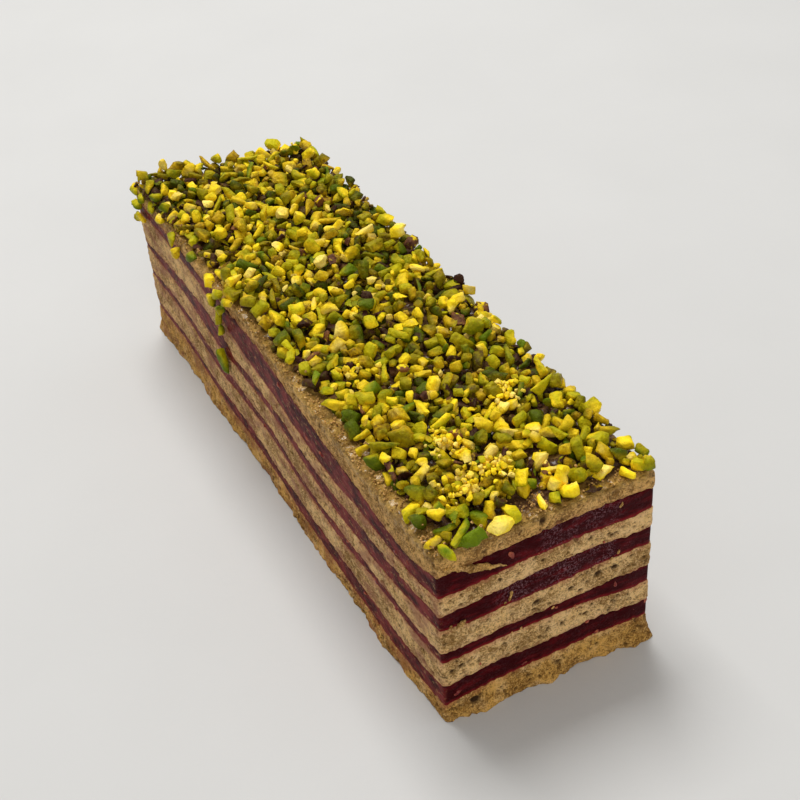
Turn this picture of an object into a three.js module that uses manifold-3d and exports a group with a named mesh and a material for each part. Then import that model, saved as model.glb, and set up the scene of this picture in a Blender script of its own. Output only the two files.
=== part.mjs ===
// A pistachio loaf cake: five sheets of sponge with four set berry jellies between them, cut from a tray as a bar,
// glazed and covered with chopped pistachios. Millimetres, +Z up, the length along Y, the near short end at -Y,
// and the origin under the middle of the cake.
import * as THREE from "three";
import { ConvexGeometry } from "three/addons/geometries/ConvexGeometry.js";
import { mergeVertices } from "three/addons/utils/BufferGeometryUtils.js";
import Module from "manifold-3d";

// The bar as it was cut.
const LENGTH = 200;
const WIDTH = 60;
const NEAR_END_SKEW = 3; // how much nearer the right corner of the near end lies
const FAR_END_SKEW = 12; // how much nearer the right corner of the far end lies
const FAR_END_TAPER = 3; // how much narrower the far end is
const SIDE_BELLY = 0.9; // the left side swells by this much in its nearer half
const LAYER_GAP = 0.3; // the joint between two layers

// The thickness of every layer, from the base up. left: along the left side, from the near end to the far end in equal
// steps. near: across the near end, from left to right. right: along the right side, from the near end to the far end.
const LAYERS = [
  {
    name: "sponge_base",
    kind: "sponge",
    left: [7, 6.5, 6.2, 7, 7, 8, 8.6, 10.4, 10.8],
    near: [7, 7.3, 8.5, 8.5],
    right: [8.5, 7.5, 9],
  },
  {
    name: "jelly_1",
    kind: "jelly",
    left: [6.5, 7.2, 5.8, 6, 4.4, 4.2, 3.6, 1.9, 1.5],
    near: [6.5, 7.2, 6, 6],
    right: [6, 5.5, 3],
  },
  {
    name: "sponge_2",
    kind: "sponge",
    left: [8.6, 9.4, 9.4, 9, 11.4, 9.5, 10, 11.4, 12],
    near: [8.6, 8, 8.1, 6.2],
    right: [6.2, 8, 9.5],
  },
  {
    name: "jelly_2",
    kind: "jelly",
    left: [3.7, 3.1, 2.7, 3.5, 2.3, 3, 4.3, 3, 1.6],
    near: [3.7, 3.4, 4.3, 6.2],
    right: [6.2, 4, 3],
  },
  {
    name: "sponge_3",
    kind: "sponge",
    left: [8, 6.8, 6.8, 8.4, 9, 9.5, 7.2, 8, 10],
    near: [8, 7.4, 7.7, 8],
    right: [8, 8, 9],
  },
  {
    name: "jelly_3",
    kind: "jelly",
    left: [5.3, 6.7, 6.5, 4.3, 2.6, 4, 8.6, 4.3, 1.5],
    near: [5.3, 7.4, 7.2, 6.1],
    right: [6.1, 6, 3.5],
  },
  {
    name: "sponge_4",
    kind: "sponge",
    left: [6.5, 5.9, 6.6, 6.2, 6.7, 8.5, 8.7, 11.2, 12],
    near: [6.5, 5.9, 5.5, 6.5],
    right: [6.5, 7, 8.5],
  },
  {
    name: "jelly_4",
    kind: "jelly",
    left: [7.2, 7.1, 10.4, 11, 12.2, 7.5, 4.2, 4.5, 4.5],
    near: [7.2, 7.3, 7.7, 7.3],
    right: [7.3, 8.5, 6.5],
  },
  {
    name: "sponge_top",
    kind: "sponge",
    left: [6.2, 6, 5.2, 4.6, 4.2, 5, 4.8, 5, 5.3],
    near: [6.2, 5.6, 4.8, 4.8],
    right: [4.8, 5, 4.6],
  },
];
const NEAR_END_REACH = 25; // how far the form of the near end carries into the cake

// The cut faces of a layer.
const STEPS_ALONG = 30;
const STEPS_ACROSS = 9;
const SPONGE_BULGE = 0.4; // crumb stands proud of the knife's line
const JELLY_HOLLOW = -0.2; // jelly draws back from it
const CUT_WANDER = 0.35;
const BASE_FLARE = 1.6; // the base sheet spreads at the board
const BASE_RAGGED = 0.7;
const CORNER_ROUND = 0.9;
const BASE_CORNER_ROUND = 2;
const TOP_EDGE_ROUND = 0.8;

// The chopped pistachios.
const BED_LEFT_MARGIN = 3.2;
const BED_RIGHT_MARGIN = 0.9;
const BED_NEAR_MARGIN = 6;
const BED_FAR_MARGIN = 1.2;
const BED_STEPS_ALONG = 42;
const BED_STEPS_ACROSS = 13;
const BED_LOOSE = 0.3; // how far a bump strays, in steps
const BED_RISE = [1.2, 3.8]; // the small pieces, as bumps
const BED_SINK = 1.6; // how far the bed's underside lies in the sponge
const PIECE_COUNT = 200;
const PIECE_CORNERS = 9;
const PIECE_LENGTH = [4.6, 8.2];
const PIECE_WIDTH_SHARE = [0.62, 0.85];
const PIECE_HEIGHT_SHARE = [0.5, 0.7];
const PIECE_SEAT = 0.6; // how far above the glaze the lowest pieces lie
const PIECE_LIFT = 0.9; // and how much higher the highest lie
const PIECE_TILT = 0.25; // radians
const PIECE_CLOSENESS = 0.44; // least distance between two pieces, as a share of their lengths' sum

// Pieces that slid over the left edge: how far along the side from 0 to 1, how far below the top, how far out from the
// side, and the size.
const SLID_PIECES = [
  [0.99, 1.2, 0.6, [4, 6.5, 4]],
  [0.955, 1.6, 0.5, [3.6, 6, 4]],
  [0.975, 4.4, 2.3, [3.2, 5.5, 4.2]],
  [0.965, 7.6, 2.8, [3.2, 5, 4]],
  [0.82, 1.2, 0.5, [3.4, 5, 4]],
  [0.805, 3.8, 2.3, [3.2, 5, 4]],
  [0.675, 1, 0.6, [3.6, 5.5, 4.2]],
  [0.645, 1.4, 0.6, [3.6, 5.5, 4.2]],
  [0.61, 1.2, 0.6, [3.6, 5.5, 4]],
  [0.655, 4.4, 2.3, [3.4, 6, 4.4]],
  [0.625, 4.2, 2.3, [3.2, 5.5, 4.2]],
  [0.635, 7.8, 2.8, [3.2, 5.5, 4.6]],
  [0.64, 11.4, 2.8, [3, 4.6, 4.6]],
];
const STUCK_PIECE = { layer: "sponge_3", v: 0.655, height: 31.5, out: 1.9, size: [3.4, 5.6, 9.5] };

const SPONGE_COLOUR = 0xa98d58;
const JELLY_COLOUR = 0x3d0a14;
const NUT_COLOUR = 0xa8a020;

const wasm = await Module();
wasm.setup();

// One seeded stream of numbers from 0 to 1 (mulberry32).
function stream(seed) {
  let state = seed;
  return () => {
    state = (state + 0x6d2b79f5) | 0;
    let t = Math.imul(state ^ (state >>> 15), 1 | state);
    t = (t + Math.imul(t ^ (t >>> 7), 61 | t)) ^ t;
    return ((t ^ (t >>> 14)) >>> 0) / 4294967296;
  };
}

const between = ([low, high], random) => low + (high - low) * random();

// The value at t, from 0 to 1, of a smooth line through evenly spaced values.
function along(values, t) {
  const at = THREE.MathUtils.clamp(t, 0, 1) * (values.length - 1);
  const i = Math.min(Math.floor(at), values.length - 2);
  const pick = (n) => values[THREE.MathUtils.clamp(n, 0, values.length - 1)];
  const [before, from, to, after] = [pick(i - 1), pick(i), pick(i + 1), pick(i + 2)];
  const s = at - i;
  const slopeFrom = (to - before) / 2;
  const slopeTo = (after - from) / 2;
  return (
    (2 * s ** 3 - 3 * s ** 2 + 1) * from +
    (s ** 3 - 2 * s ** 2 + s) * slopeFrom +
    (3 * s ** 2 - 2 * s ** 3) * to +
    (s ** 3 - s ** 2) * slopeTo
  );
}

// A layer's thickness at u, from 0 on the left side to 1 on the right, and v, from 0 at the near end to 1 at the far end.
function thickness(layer, u, v) {
  const sides = THREE.MathUtils.lerp(along(layer.left, v), along(layer.right, v), u);
  const straight = THREE.MathUtils.lerp(layer.near[0], layer.near.at(-1), u);
  const fade = Math.exp((-v * LENGTH) / NEAR_END_REACH);
  return sides + (along(layer.near, u) - straight) * fade;
}

// The height of the upper face of the first count layers.
const heightAbove = (count, u, v) =>
  LAYERS.slice(0, count).reduce((sum, layer) => sum + thickness(layer, u, v), 0);

// Where u and v lie in plan.
function plan(u, v) {
  const x = WIDTH * (u - 0.5) - FAR_END_TAPER * u * v;
  const y = LENGTH * (v - 0.5) - NEAR_END_SKEW * u * (1 - v) - FAR_END_SKEW * u * v;
  const belly = SIDE_BELLY * Math.sin(Math.PI * Math.min(v * 2, 1)) * (1 - u);
  return new THREE.Vector2(x - belly, y);
}

// The cut line round the cake, from the near left corner and anticlockwise seen from above, with the outward direction
// at each point and how much of a corner it is.
function outline() {
  const points = [];
  const side = (steps, from, to) => {
    for (let i = 0; i < steps; i++) points.push(from.clone().lerp(to, i / steps));
  };
  const corner = (u, v) => new THREE.Vector2(u, v);
  side(STEPS_ACROSS, corner(0, 0), corner(1, 0));
  side(STEPS_ALONG, corner(1, 0), corner(1, 1));
  side(STEPS_ACROSS, corner(1, 1), corner(0, 1));
  side(STEPS_ALONG, corner(0, 1), corner(0, 0));
  return points.map((uv) => {
    const sideways = uv.x === 0 ? -1 : uv.x === 1 ? 1 : 0;
    const endways = uv.y === 0 ? -1 : uv.y === 1 ? 1 : 0;
    return {
      uv,
      place: plan(uv.x, uv.y),
      outward: new THREE.Vector2(sideways, endways).normalize(),
      corner: sideways !== 0 && endways !== 0 ? 1 : 0,
    };
  });
}

const OUTLINE = outline();

// How far the knife's line wanders from the outline at a point of it, the same for every layer.
const wander = OUTLINE.map(({ place }) =>
  CUT_WANDER * Math.sin(place.x / 7.3 + place.y / 11.7) * Math.cos(place.y / 5.1 - place.x / 9.4),
);

// A ring of points round the cake: count layers up and then part of the next layer, moved out by spread.
function ring(count, part, spread, cornerRound, seed) {
  const random = stream(seed);
  return OUTLINE.map((point, i) => {
    const { uv, place, outward, corner } = point;
    const lower = heightAbove(count, uv.x, uv.y);
    const height = part === 0 ? lower : lower + part * thickness(LAYERS[count], uv.x, uv.y);
    const out = wander[i] + spread(random) - corner * cornerRound;
    return new THREE.Vector3(place.x + outward.x * out, place.y + outward.y * out, height);
  });
}

// The faces of a level cut through the cake: rungs from the left side to the right side, and the two ends filled in.
function levelFaces() {
  const count = OUTLINE.length;
  const left = (i) => (count - i) % count;
  const right = (i) => STEPS_ACROSS + i;
  const faces = [];
  const fill = (indices) => {
    const places = indices.map((i) => OUTLINE[i].place);
    THREE.ShapeUtils.triangulateShape(places, []).forEach((face) => faces.push(face.map((i) => indices[i])));
  };
  const nearEnd = Array.from({ length: STEPS_ACROSS + 1 }, (_, i) => i);
  fill([...nearEnd, right(1), left(1)]);
  for (let i = 1; i + 1 < STEPS_ALONG; i++) fill([left(i), right(i), right(i + 1), left(i + 1)]);
  const farEnd = nearEnd.map((i) => right(STEPS_ALONG) + i);
  fill([left(STEPS_ALONG - 1), right(STEPS_ALONG - 1), ...farEnd]);
  return faces;
}

const LEVEL_FACES = levelFaces();

// A solid from its corners and triangles.
const manifoldOf = (corners, triangles) =>
  new wasm.Manifold(
    new wasm.Mesh({
      numProp: 3,
      vertProperties: new Float32Array(corners.flatMap((p) => [p.x, p.y, p.z])),
      triVerts: new Uint32Array(triangles),
    }),
  );

// A closed solid from rings of points, the lowest first.
function solidFromRings(rings) {
  const count = OUTLINE.length;
  const triangles = [];
  LEVEL_FACES.forEach(([a, b, c]) => triangles.push(c, b, a));
  for (let level = 0; level + 1 < rings.length; level++) {
    for (let i = 0; i < count; i++) {
      const next = (i + 1) % count;
      const low = level * count;
      const high = low + count;
      triangles.push(low + i, low + next, high + next, low + i, high + next, high + i);
    }
  }
  const top = (rings.length - 1) * count;
  LEVEL_FACES.forEach(([a, b, c]) => triangles.push(top + a, top + b, top + c));
  return manifoldOf(rings.flat(), triangles);
}

// One layer between its two joints.
function layerSolid(index) {
  const layer = LAYERS[index];
  const isBase = index === 0;
  const isTop = index === LAYERS.length - 1;
  const none = () => 0;
  const rough = layer.kind === "sponge" ? SPONGE_BULGE : JELLY_HOLLOW;
  const swell = (random) => rough * (0.4 + 1.2 * random());
  const ragged = (random) => BASE_FLARE + BASE_RAGGED * (2 * random() - 1);
  const lowerRound = isBase ? BASE_CORNER_ROUND : CORNER_ROUND;
  const lower = isBase ? ring(0, 0, ragged, lowerRound, 11) : ring(index, 0, none, lowerRound, 0);
  const middle = ring(index, 0.5, swell, lowerRound, 20 + index);
  const rings = [lower, middle];
  if (isTop) {
    rings.push(ring(index, 1 - TOP_EDGE_ROUND / layer.left[0], none, CORNER_ROUND, 0));
    rings.push(ring(index, 1, () => -TOP_EDGE_ROUND, CORNER_ROUND, 0));
  } else {
    rings.push(ring(index + 1, 0, none, CORNER_ROUND, 0));
    rings.at(-1).forEach((p) => (p.z -= LAYER_GAP / 2));
  }
  if (!isBase) lower.forEach((p) => (p.z += LAYER_GAP / 2));
  return solidFromRings(rings);
}

// The part of the top that the nuts cover, as u and v.
const BED = {
  u: [BED_LEFT_MARGIN / WIDTH, 1 - BED_RIGHT_MARGIN / WIDTH],
  v: [BED_NEAR_MARGIN / LENGTH, 1 - BED_FAR_MARGIN / LENGTH],
};
const spread = ([low, high], share) => low + (high - low) * share;

// A point on the glazed top, in millimetres.
function onTop(u, v, rise) {
  const place = plan(u, v);
  return new THREE.Vector3(place.x, place.y, heightAbove(LAYERS.length, u, v) + rise);
}

// The small pieces between the large ones: one bumpy sheet that lies in the glaze.
function bedSolid() {
  const random = stream(301);
  const upper = [];
  const lower = [];
  for (let j = 0; j <= BED_STEPS_ALONG; j++) {
    for (let i = 0; i <= BED_STEPS_ACROSS; i++) {
      const rim = i === 0 || j === 0 || i === BED_STEPS_ACROSS || j === BED_STEPS_ALONG;
      const loose = rim ? 0 : BED_LOOSE;
      const u = spread(BED.u, (i + loose * (2 * random() - 1)) / BED_STEPS_ACROSS);
      const v = spread(BED.v, (j + loose * (2 * random() - 1)) / BED_STEPS_ALONG);
      upper.push(onTop(u, v, rim ? 0 : between(BED_RISE, random)));
      lower.push(onTop(u, v, -BED_SINK));
    }
  }
  const at = (i, j) => j * (BED_STEPS_ACROSS + 1) + i;
  const below = upper.length;
  const triangles = [];
  for (let j = 0; j < BED_STEPS_ALONG; j++) {
    for (let i = 0; i < BED_STEPS_ACROSS; i++) {
      const [a, b, c, d] = [at(i, j), at(i + 1, j), at(i + 1, j + 1), at(i, j + 1)];
      const halves = (i + j) % 2 ? [[a, b, c], [a, c, d]] : [[a, b, d], [b, c, d]];
      halves.forEach(([p, q, r]) => triangles.push(p, q, r, below + r, below + q, below + p));
    }
  }
  const rim = [];
  for (let i = 0; i < BED_STEPS_ACROSS; i++) rim.push(at(i, 0));
  for (let j = 0; j < BED_STEPS_ALONG; j++) rim.push(at(BED_STEPS_ACROSS, j));
  for (let i = BED_STEPS_ACROSS; i > 0; i--) rim.push(at(i, BED_STEPS_ALONG));
  for (let j = BED_STEPS_ALONG; j > 0; j--) rim.push(at(0, j));
  rim.forEach((from, i) => {
    const to = rim[(i + 1) % rim.length];
    triangles.push(below + from, below + to, to, below + from, to, from);
  });
  return manifoldOf([...upper, ...lower], triangles);
}

// A geometry's solid.
function solidOf(geometry) {
  geometry.deleteAttribute("normal");
  geometry.deleteAttribute("uv");
  const merged = mergeVertices(geometry, 1e-4);
  return new wasm.Manifold(
    new wasm.Mesh({
      numProp: 3,
      vertProperties: merged.attributes.position.array,
      triVerts: new Uint32Array(merged.index.array),
    }),
  );
}

// One chopped piece of kernel, turned in plan: the hull of a few corners on a blunt box.
function nutPiece(size, place, turned, random) {
  const corners = [];
  for (let i = 0; i < PIECE_CORNERS; i++) {
    const turn = (i + 0.5 * random()) * 2.4; // a golden-angle spiral keeps the corners apart
    const level = 1 - (2 * i + 1) / PIECE_CORNERS;
    const round = Math.sqrt(1 - level * level);
    const corner = new THREE.Vector3(Math.cos(turn) * round, Math.sin(turn) * round, level);
    const blunt = 1 / Math.max(Math.abs(corner.x), Math.abs(corner.y), Math.abs(corner.z));
    corners.push(corner.multiplyScalar(THREE.MathUtils.lerp(1, blunt, 0.6) * (0.85 + 0.25 * random())));
  }
  const tilt = new THREE.Euler(PIECE_TILT * (2 * random() - 1), PIECE_TILT * (2 * random() - 1), turned);
  const matrix = new THREE.Matrix4()
    .makeTranslation(place.x, place.y, place.z)
    .multiply(new THREE.Matrix4().makeRotationFromEuler(tilt))
    .multiply(new THREE.Matrix4().makeScale(size.x / 2, size.y / 2, size.z / 2));
  return solidOf(new ConvexGeometry(corners).applyMatrix4(matrix));
}

// The large pieces, the longest first, each at the first free place that a seeded draw finds.
function nutPieces() {
  const random = stream(77);
  const lengths = Array.from({ length: PIECE_COUNT }, () => between(PIECE_LENGTH, random) * (0.75 + 0.25 * random()));
  lengths.sort((a, b) => b - a);
  const placed = [];
  lengths.forEach((length) => {
    for (let attempt = 0; attempt < 80; attempt++) {
      const u = spread(BED.u, random());
      const v = spread(BED.v, random());
      const place = plan(u, v);
      const free = placed.every((p) => p.place.distanceTo(place) > PIECE_CLOSENESS * (p.length + length));
      if (!free) continue;
      placed.push({ place, u, v, length });
      break;
    }
  });
  return placed.map(({ u, v, length }) => {
    const size = new THREE.Vector3(
      length,
      length * between(PIECE_WIDTH_SHARE, random),
      length * between(PIECE_HEIGHT_SHARE, random),
    );
    const rise = PIECE_SEAT + size.z / 2 + PIECE_LIFT * random();
    return nutPiece(size, onTop(u, v, rise), 2 * Math.PI * random(), random);
  });
}

// Pieces that slid over the left edge. The upper ones stick to the side of the top sheet, and the lower ones, which
// reach down past the jelly, stick to them.
function slidPieces() {
  const random = stream(9);
  return SLID_PIECES.map(([v, drop, out, size]) => {
    const place = onTop(0, v, -drop);
    place.x -= out;
    return nutPiece(new THREE.Vector3(...size), place, 0, random);
  });
}

// The one piece that sticks lower down on the left side.
function stuckPiece() {
  const { v, height, out, size } = STUCK_PIECE;
  const place = plan(0, v);
  return nutPiece(new THREE.Vector3(...size), new THREE.Vector3(place.x - out, place.y, height), 0, stream(4));
}

// The named mesh of a solid.
function meshOf(name, solid, colour, roughness) {
  const { vertProperties, triVerts, numProp } = solid.getMesh();
  const corners = new Float32Array(triVerts.length * 3);
  triVerts.forEach((vertex, i) => {
    corners.set(vertProperties.subarray(vertex * numProp, vertex * numProp + 3), i * 3);
  });
  const geometry = new THREE.BufferGeometry().setAttribute("position", new THREE.BufferAttribute(corners, 3));
  geometry.computeVertexNormals();
  const mesh = new THREE.Mesh(geometry, new THREE.MeshStandardMaterial({ color: colour, roughness, metalness: 0 }));
  mesh.name = name;
  return mesh;
}

const cake = new THREE.Group();
cake.name = "pistachio_loaf_cake";

LAYERS.slice(0, -1).forEach((layer, index) => {
  const isSponge = layer.kind === "sponge";
  const colour = isSponge ? SPONGE_COLOUR : JELLY_COLOUR;
  const sheet = layerSolid(index);
  const solid = layer.name === STUCK_PIECE.layer ? sheet.add(stuckPiece()) : sheet;
  cake.add(meshOf(layer.name, solid, colour, isSponge ? 0.9 : 0.3));
});

// The top sheet carries its nuts as one solid. Hollows that the joined pieces seal between them are filled, by keeping
// the outer skin alone.
const joined = wasm.Manifold.union([layerSolid(LAYERS.length - 1), bedSolid(), ...nutPieces(), ...slidPieces()]);
const topSheet = joined.decompose().reduce((largest, part) => (part.volume() > largest.volume() ? part : largest));
cake.add(meshOf("sponge_top_pistachios", topSheet, NUT_COLOUR, 0.6));

// The skewed ends and the overhanging nuts shift the middle of the cake, so the whole is set over the origin.
const bounds = new THREE.Box3().setFromObject(cake);
const middle = bounds.getCenter(new THREE.Vector3());
cake.position.set(-middle.x, -middle.y, 0);

export default cake;
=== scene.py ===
# A bar of layer cake: five sheets of sponge with four set berry jellies between them, glazed on top and
# covered with chopped pistachios. Lengths in the tables are millimetres, and MM turns them into metres.
import math

import bpy
import numpy as np
from mathutils import Euler, Matrix, Vector


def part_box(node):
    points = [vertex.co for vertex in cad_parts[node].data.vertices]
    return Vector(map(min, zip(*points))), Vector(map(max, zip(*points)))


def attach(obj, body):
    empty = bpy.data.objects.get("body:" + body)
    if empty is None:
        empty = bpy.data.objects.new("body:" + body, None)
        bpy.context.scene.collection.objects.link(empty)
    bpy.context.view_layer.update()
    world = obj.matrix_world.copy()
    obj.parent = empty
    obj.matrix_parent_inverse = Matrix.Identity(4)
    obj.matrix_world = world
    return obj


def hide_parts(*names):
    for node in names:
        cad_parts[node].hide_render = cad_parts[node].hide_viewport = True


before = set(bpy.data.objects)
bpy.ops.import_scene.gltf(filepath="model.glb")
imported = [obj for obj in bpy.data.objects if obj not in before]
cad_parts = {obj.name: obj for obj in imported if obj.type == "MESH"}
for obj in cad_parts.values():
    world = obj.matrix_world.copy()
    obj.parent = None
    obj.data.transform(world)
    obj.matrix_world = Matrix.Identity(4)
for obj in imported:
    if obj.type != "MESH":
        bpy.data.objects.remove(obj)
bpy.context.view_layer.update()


# --------------------------------------------------------------------------------------------------
# The sponge sheets.
# Thin sheets of baked nut sponge, stacked with jelly between them and cut through in one go with a knife.
# Each is a drum whose rim is laid along the knife's line, with the crumb and its holes as real relief.

MM = 0.001
LENGTH = 200
WIDTH = 60
NEAR_END_SKEW = 3  # how much nearer the right corner of the near end lies
FAR_END_SKEW = 12  # and that of the far end
FAR_END_TAPER = 3  # how much narrower the far end is
SIDE_BELLY = 0.9  # how far the near half of the left side swells

ACROSS = 150  # columns of crumb along a short end
ALONG = 500  # and along a long side
COLUMNS = 2 * (ACROSS + ALONG)
COLUMN_WIDTH = LENGTH / ALONG
CORNER_COLUMNS = 2  # the corners are rounded over so many columns on either side
KNIFE_WANDER = 0.3  # how far the knife strays from its line
KNIFE_WAVE = 14  # and over what length

# The height of every sheet's upper face round the cake: across the near end from left to right, along the
# right side to the far end, and along the left side back to the near end, each in equal steps.
SHEETS = {
    "sponge_base": (
        [5.6, 6.3, 7.5, 8, 8, 8.4, 8.5, 8.5, 8.3],
        [7.6, 8.2, 8.9, 9.2],
        [10.9, 10.7, 10.3, 9.9, 8.4, 7.5, 7.1, 6.2, 5.5, 5, 4.8, 4.5, 3.6, 3.7, 4.3, 4.4],
    ),
    "jelly_1": (
        [13, 13.4, 14.8, 14.3, 14, 14.7, 15, 14.7, 14.3],
        [13.4, 13, 12.6, 12],
        [12.6, 13, 13.3, 13.4, 11.9, 12.3, 12.2, 11.1, 9.4, 10.9, 10.9, 10.9, 10.5, 11.2, 11.4, 11.2],
    ),
    "sponge_2": (
        [21.8, 21.8, 22.6, 22.8, 22.8, 22.8, 22, 21, 21.5],
        [21.6, 21, 21.4, 22],
        [24.1, 24.1, 23.8, 23.1, 21.6, 20.5, 21, 21.3, 21.3, 20.2, 19.8, 18.9, 19.3, 21.1, 21.6, 21.4],
    ),
    "jelly_2": (
        [25.3, 25.5, 26, 26.3, 26.5, 26.5, 26.9, 27.3, 27.3],
        [25.8, 25.2, 25.4, 25.2],
        [25.9, 26.6, 26.8, 26.9, 25.5, 25, 25, 24.3, 25, 23.3, 22.7, 22.6, 23.4, 24.2, 24.6, 24.6],
    ),
    "sponge_3": (
        [33.6, 32.8, 33.3, 33.6, 33.8, 34.2, 34.6, 34.9, 35.3],
        [34, 33.4, 34, 34.3],
        [35.6, 35, 35, 34.8, 33.7, 32.2, 32.8, 32.6, 33.2, 32.8, 31.2, 29.7, 29.4, 29.8, 31, 32.3],
    ),
    "jelly_3": (
        [38.8, 39.1, 40, 41, 41.5, 41.6, 41.3, 41, 41],
        [40.4, 38.6, 37.6, 37.8],
        [37.3, 38.6, 39.6, 40.9, 41.8, 41.8, 36.2, 36.5, 36.3, 36.9, 35.6, 34.9, 35.5, 37.1, 37.6, 37.9],
    ),
    "sponge_4": (
        [45.2, 45.2, 46, 46.9, 47, 47.3, 46.9, 46.7, 47.8],
        [46.6, 45.6, 45.6, 46.2],
        [49.5, 50, 50.3, 50.8, 50.9, 49.4, 45.2, 43, 43, 42.7, 42.1, 41, 41.7, 43.2, 43.2, 43.1],
    ),
    "jelly_4": (
        [52.6, 52.8, 53.6, 54, 54.6, 54.8, 54.9, 54.9, 54.9],
        [54.2, 54.4, 53.6, 52.2],
        [53.8, 53.5, 54, 54.8, 54.8, 54.8, 54.6, 54.5, 55.1, 53.9, 53.4, 52.5, 51.9, 50.7, 50, 49.2],
    ),
    "sponge_top": (
        [59, 59.1, 59.2, 59.3, 59.4, 59.5, 59.6, 59.7, 59.8],
        [59.5, 59.2, 58.2, 56.8],
        [59.2] + [59] * 15,
    ),
}
JOINT_SOFTENING = 8  # columns over which the knots of a joint are smoothed
JOINT_LUMPS = ((1.7, 0.3, 30), (0.8, 0.27, 50))  # the crumb makes it ragged: lump size, height and seed

# The ends are skewed, so the middle of the cut lies a little off the middle of its box.
OFF_MIDDLE = Vector((0.639, 1.477))
jelly_low, jelly_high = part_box("jelly_1")
middle_of_cut = ((jelly_low + jelly_high) / 2).xy / MM + OFF_MIDDLE


def plan(u, v):
    """The place in plan of u, from 0 on the left to 1 on the right, and v, from the near to the far end."""
    x = WIDTH * (u - 0.5) - FAR_END_TAPER * u * v
    y = LENGTH * (v - 0.5) - NEAR_END_SKEW * u * (1 - v) - FAR_END_SKEW * u * v
    belly = SIDE_BELLY * np.sin(np.pi * np.minimum(v * 2, 1)) * (1 - u)
    return np.stack([x - belly + middle_of_cut.x, y + middle_of_cut.y], axis=-1)


def lumps(points, size, seed):
    """Smooth random numbers from -1 to 1 at points of space, which change over a length of size."""
    spot = points / size
    cell = np.floor(spot).astype(np.int64)
    part = spot - cell
    part = part * part * (3 - 2 * part)
    total = 0
    for corner in np.ndindex(2, 2, 2):
        at = cell + np.array(corner)
        mixed = at[..., 0] * 73856093 ^ at[..., 1] * 19349663 ^ at[..., 2] * 83492791 ^ (seed * 7919 + 17)
        mixed = (mixed ^ (mixed >> 13)) * 1274126177 & 0xFFFFFFFF
        mixed = (mixed ^ (mixed >> 15)) * 2246822519 & 0xFFFFFFFF
        share = np.prod(np.where(corner, part, 1 - part), axis=-1)
        total = total + share * (mixed / 0x7FFFFFFF - 1)
    return total


def rough(points, sizes, index=0):
    """Lumps of several sizes together, each with its height and its seed."""
    return sum(height * lumps(points, size, seed + index) for size, height, seed in sizes)


def lumps_each_way(points, size, seed):
    """Smooth random steps in all three directions."""
    return np.stack([lumps(points, size, seed + axis) for axis in range(3)], axis=-1)


# The u and v of each column, anticlockwise from the near left corner as seen from above.
steps_across = np.arange(ACROSS) / ACROSS
steps_along = np.arange(ALONG) / ALONG
column_u = np.concatenate([steps_across, np.ones(ALONG), 1 - steps_across, np.zeros(ALONG)])
column_v = np.concatenate([np.zeros(ACROSS), steps_along, np.ones(ACROSS), 1 - steps_along])


def soften(values, columns):
    """The running mean round the cake."""
    return np.mean([np.roll(values, step, axis=0) for step in range(-columns, columns + 1)], axis=0)


knife_line = soften(plan(column_u, column_v), CORNER_COLUMNS)
heading = np.roll(knife_line, -1, axis=0) - np.roll(knife_line, 1, axis=0)
outward = np.stack([heading[:, 1], -heading[:, 0]], axis=-1)
outward /= np.linalg.norm(outward, axis=-1, keepdims=True)
flat_line = np.column_stack([knife_line, np.zeros(COLUMNS)])
knife_line = knife_line + outward * (KNIFE_WANDER * lumps(flat_line, KNIFE_WAVE, 1))[:, None]


def joint_height(name):
    """The height of a sheet's upper face at each column."""
    near, right, left = SHEETS[name]
    stations = np.concatenate([
        np.linspace(0, ACROSS, len(near)),
        ACROSS + ALONG * np.arange(1, len(right) + 1) / len(right),
        2 * ACROSS + ALONG + ALONG * np.arange(len(left)) / len(left),
    ])
    height = np.interp(np.arange(COLUMNS), stations, near + right + left, period=COLUMNS)
    return soften(height, JOINT_SOFTENING)


sheet_names = list(SHEETS)
joints = [np.zeros(COLUMNS)]
for index, name in enumerate(sheet_names):
    height = joint_height(name)
    if name != "sponge_top":
        height = height + rough(np.column_stack([knife_line, height]), JOINT_LUMPS, index)
    joints.append(height)


def wall_grid(index, rows):
    """The points of a sheet's cut face before its relief, in rows from its lower joint to its upper one."""
    share = (np.arange(rows + 1) / rows)[:, None]
    height = joints[index] * (1 - share) + joints[index + 1] * share
    return np.dstack([np.broadcast_to(knife_line, (rows + 1, COLUMNS, 2)), height])


PIT_ROUND = 1.3  # over 1, so that a hole's rim eases into the crumb


def sink_pit(depth, wall, column, height, radius, deepest, stretch):
    """Presses one round or long hole into a grid of depths."""
    reach = math.ceil(radius * stretch / COLUMN_WIDTH) + 1
    columns = np.arange(column - reach, column + reach + 1) % COLUMNS
    centre = wall[:, column % COLUMNS, :2].mean(axis=0)
    aside = np.linalg.norm(wall[:, columns, :2] - centre, axis=-1) / stretch
    away = np.hypot(aside, wall[:, columns, 2] - height) / radius
    hole = deepest * np.clip(1 - away**2, 0, 1) ** PIT_ROUND
    depth[:, columns] = np.maximum(depth[:, columns], hole)


def corners_of(mesh):
    """The corners of a mesh, as an array."""
    co = np.empty(len(mesh.vertices) * 3)
    mesh.vertices.foreach_get("co", co)
    return co.reshape(-1, 3)


def put_corners(mesh, co):
    """Moves the corners of a mesh to these places in millimetres."""
    mesh.vertices.foreach_set("co", (co * MM).ravel())
    mesh.update()


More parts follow.
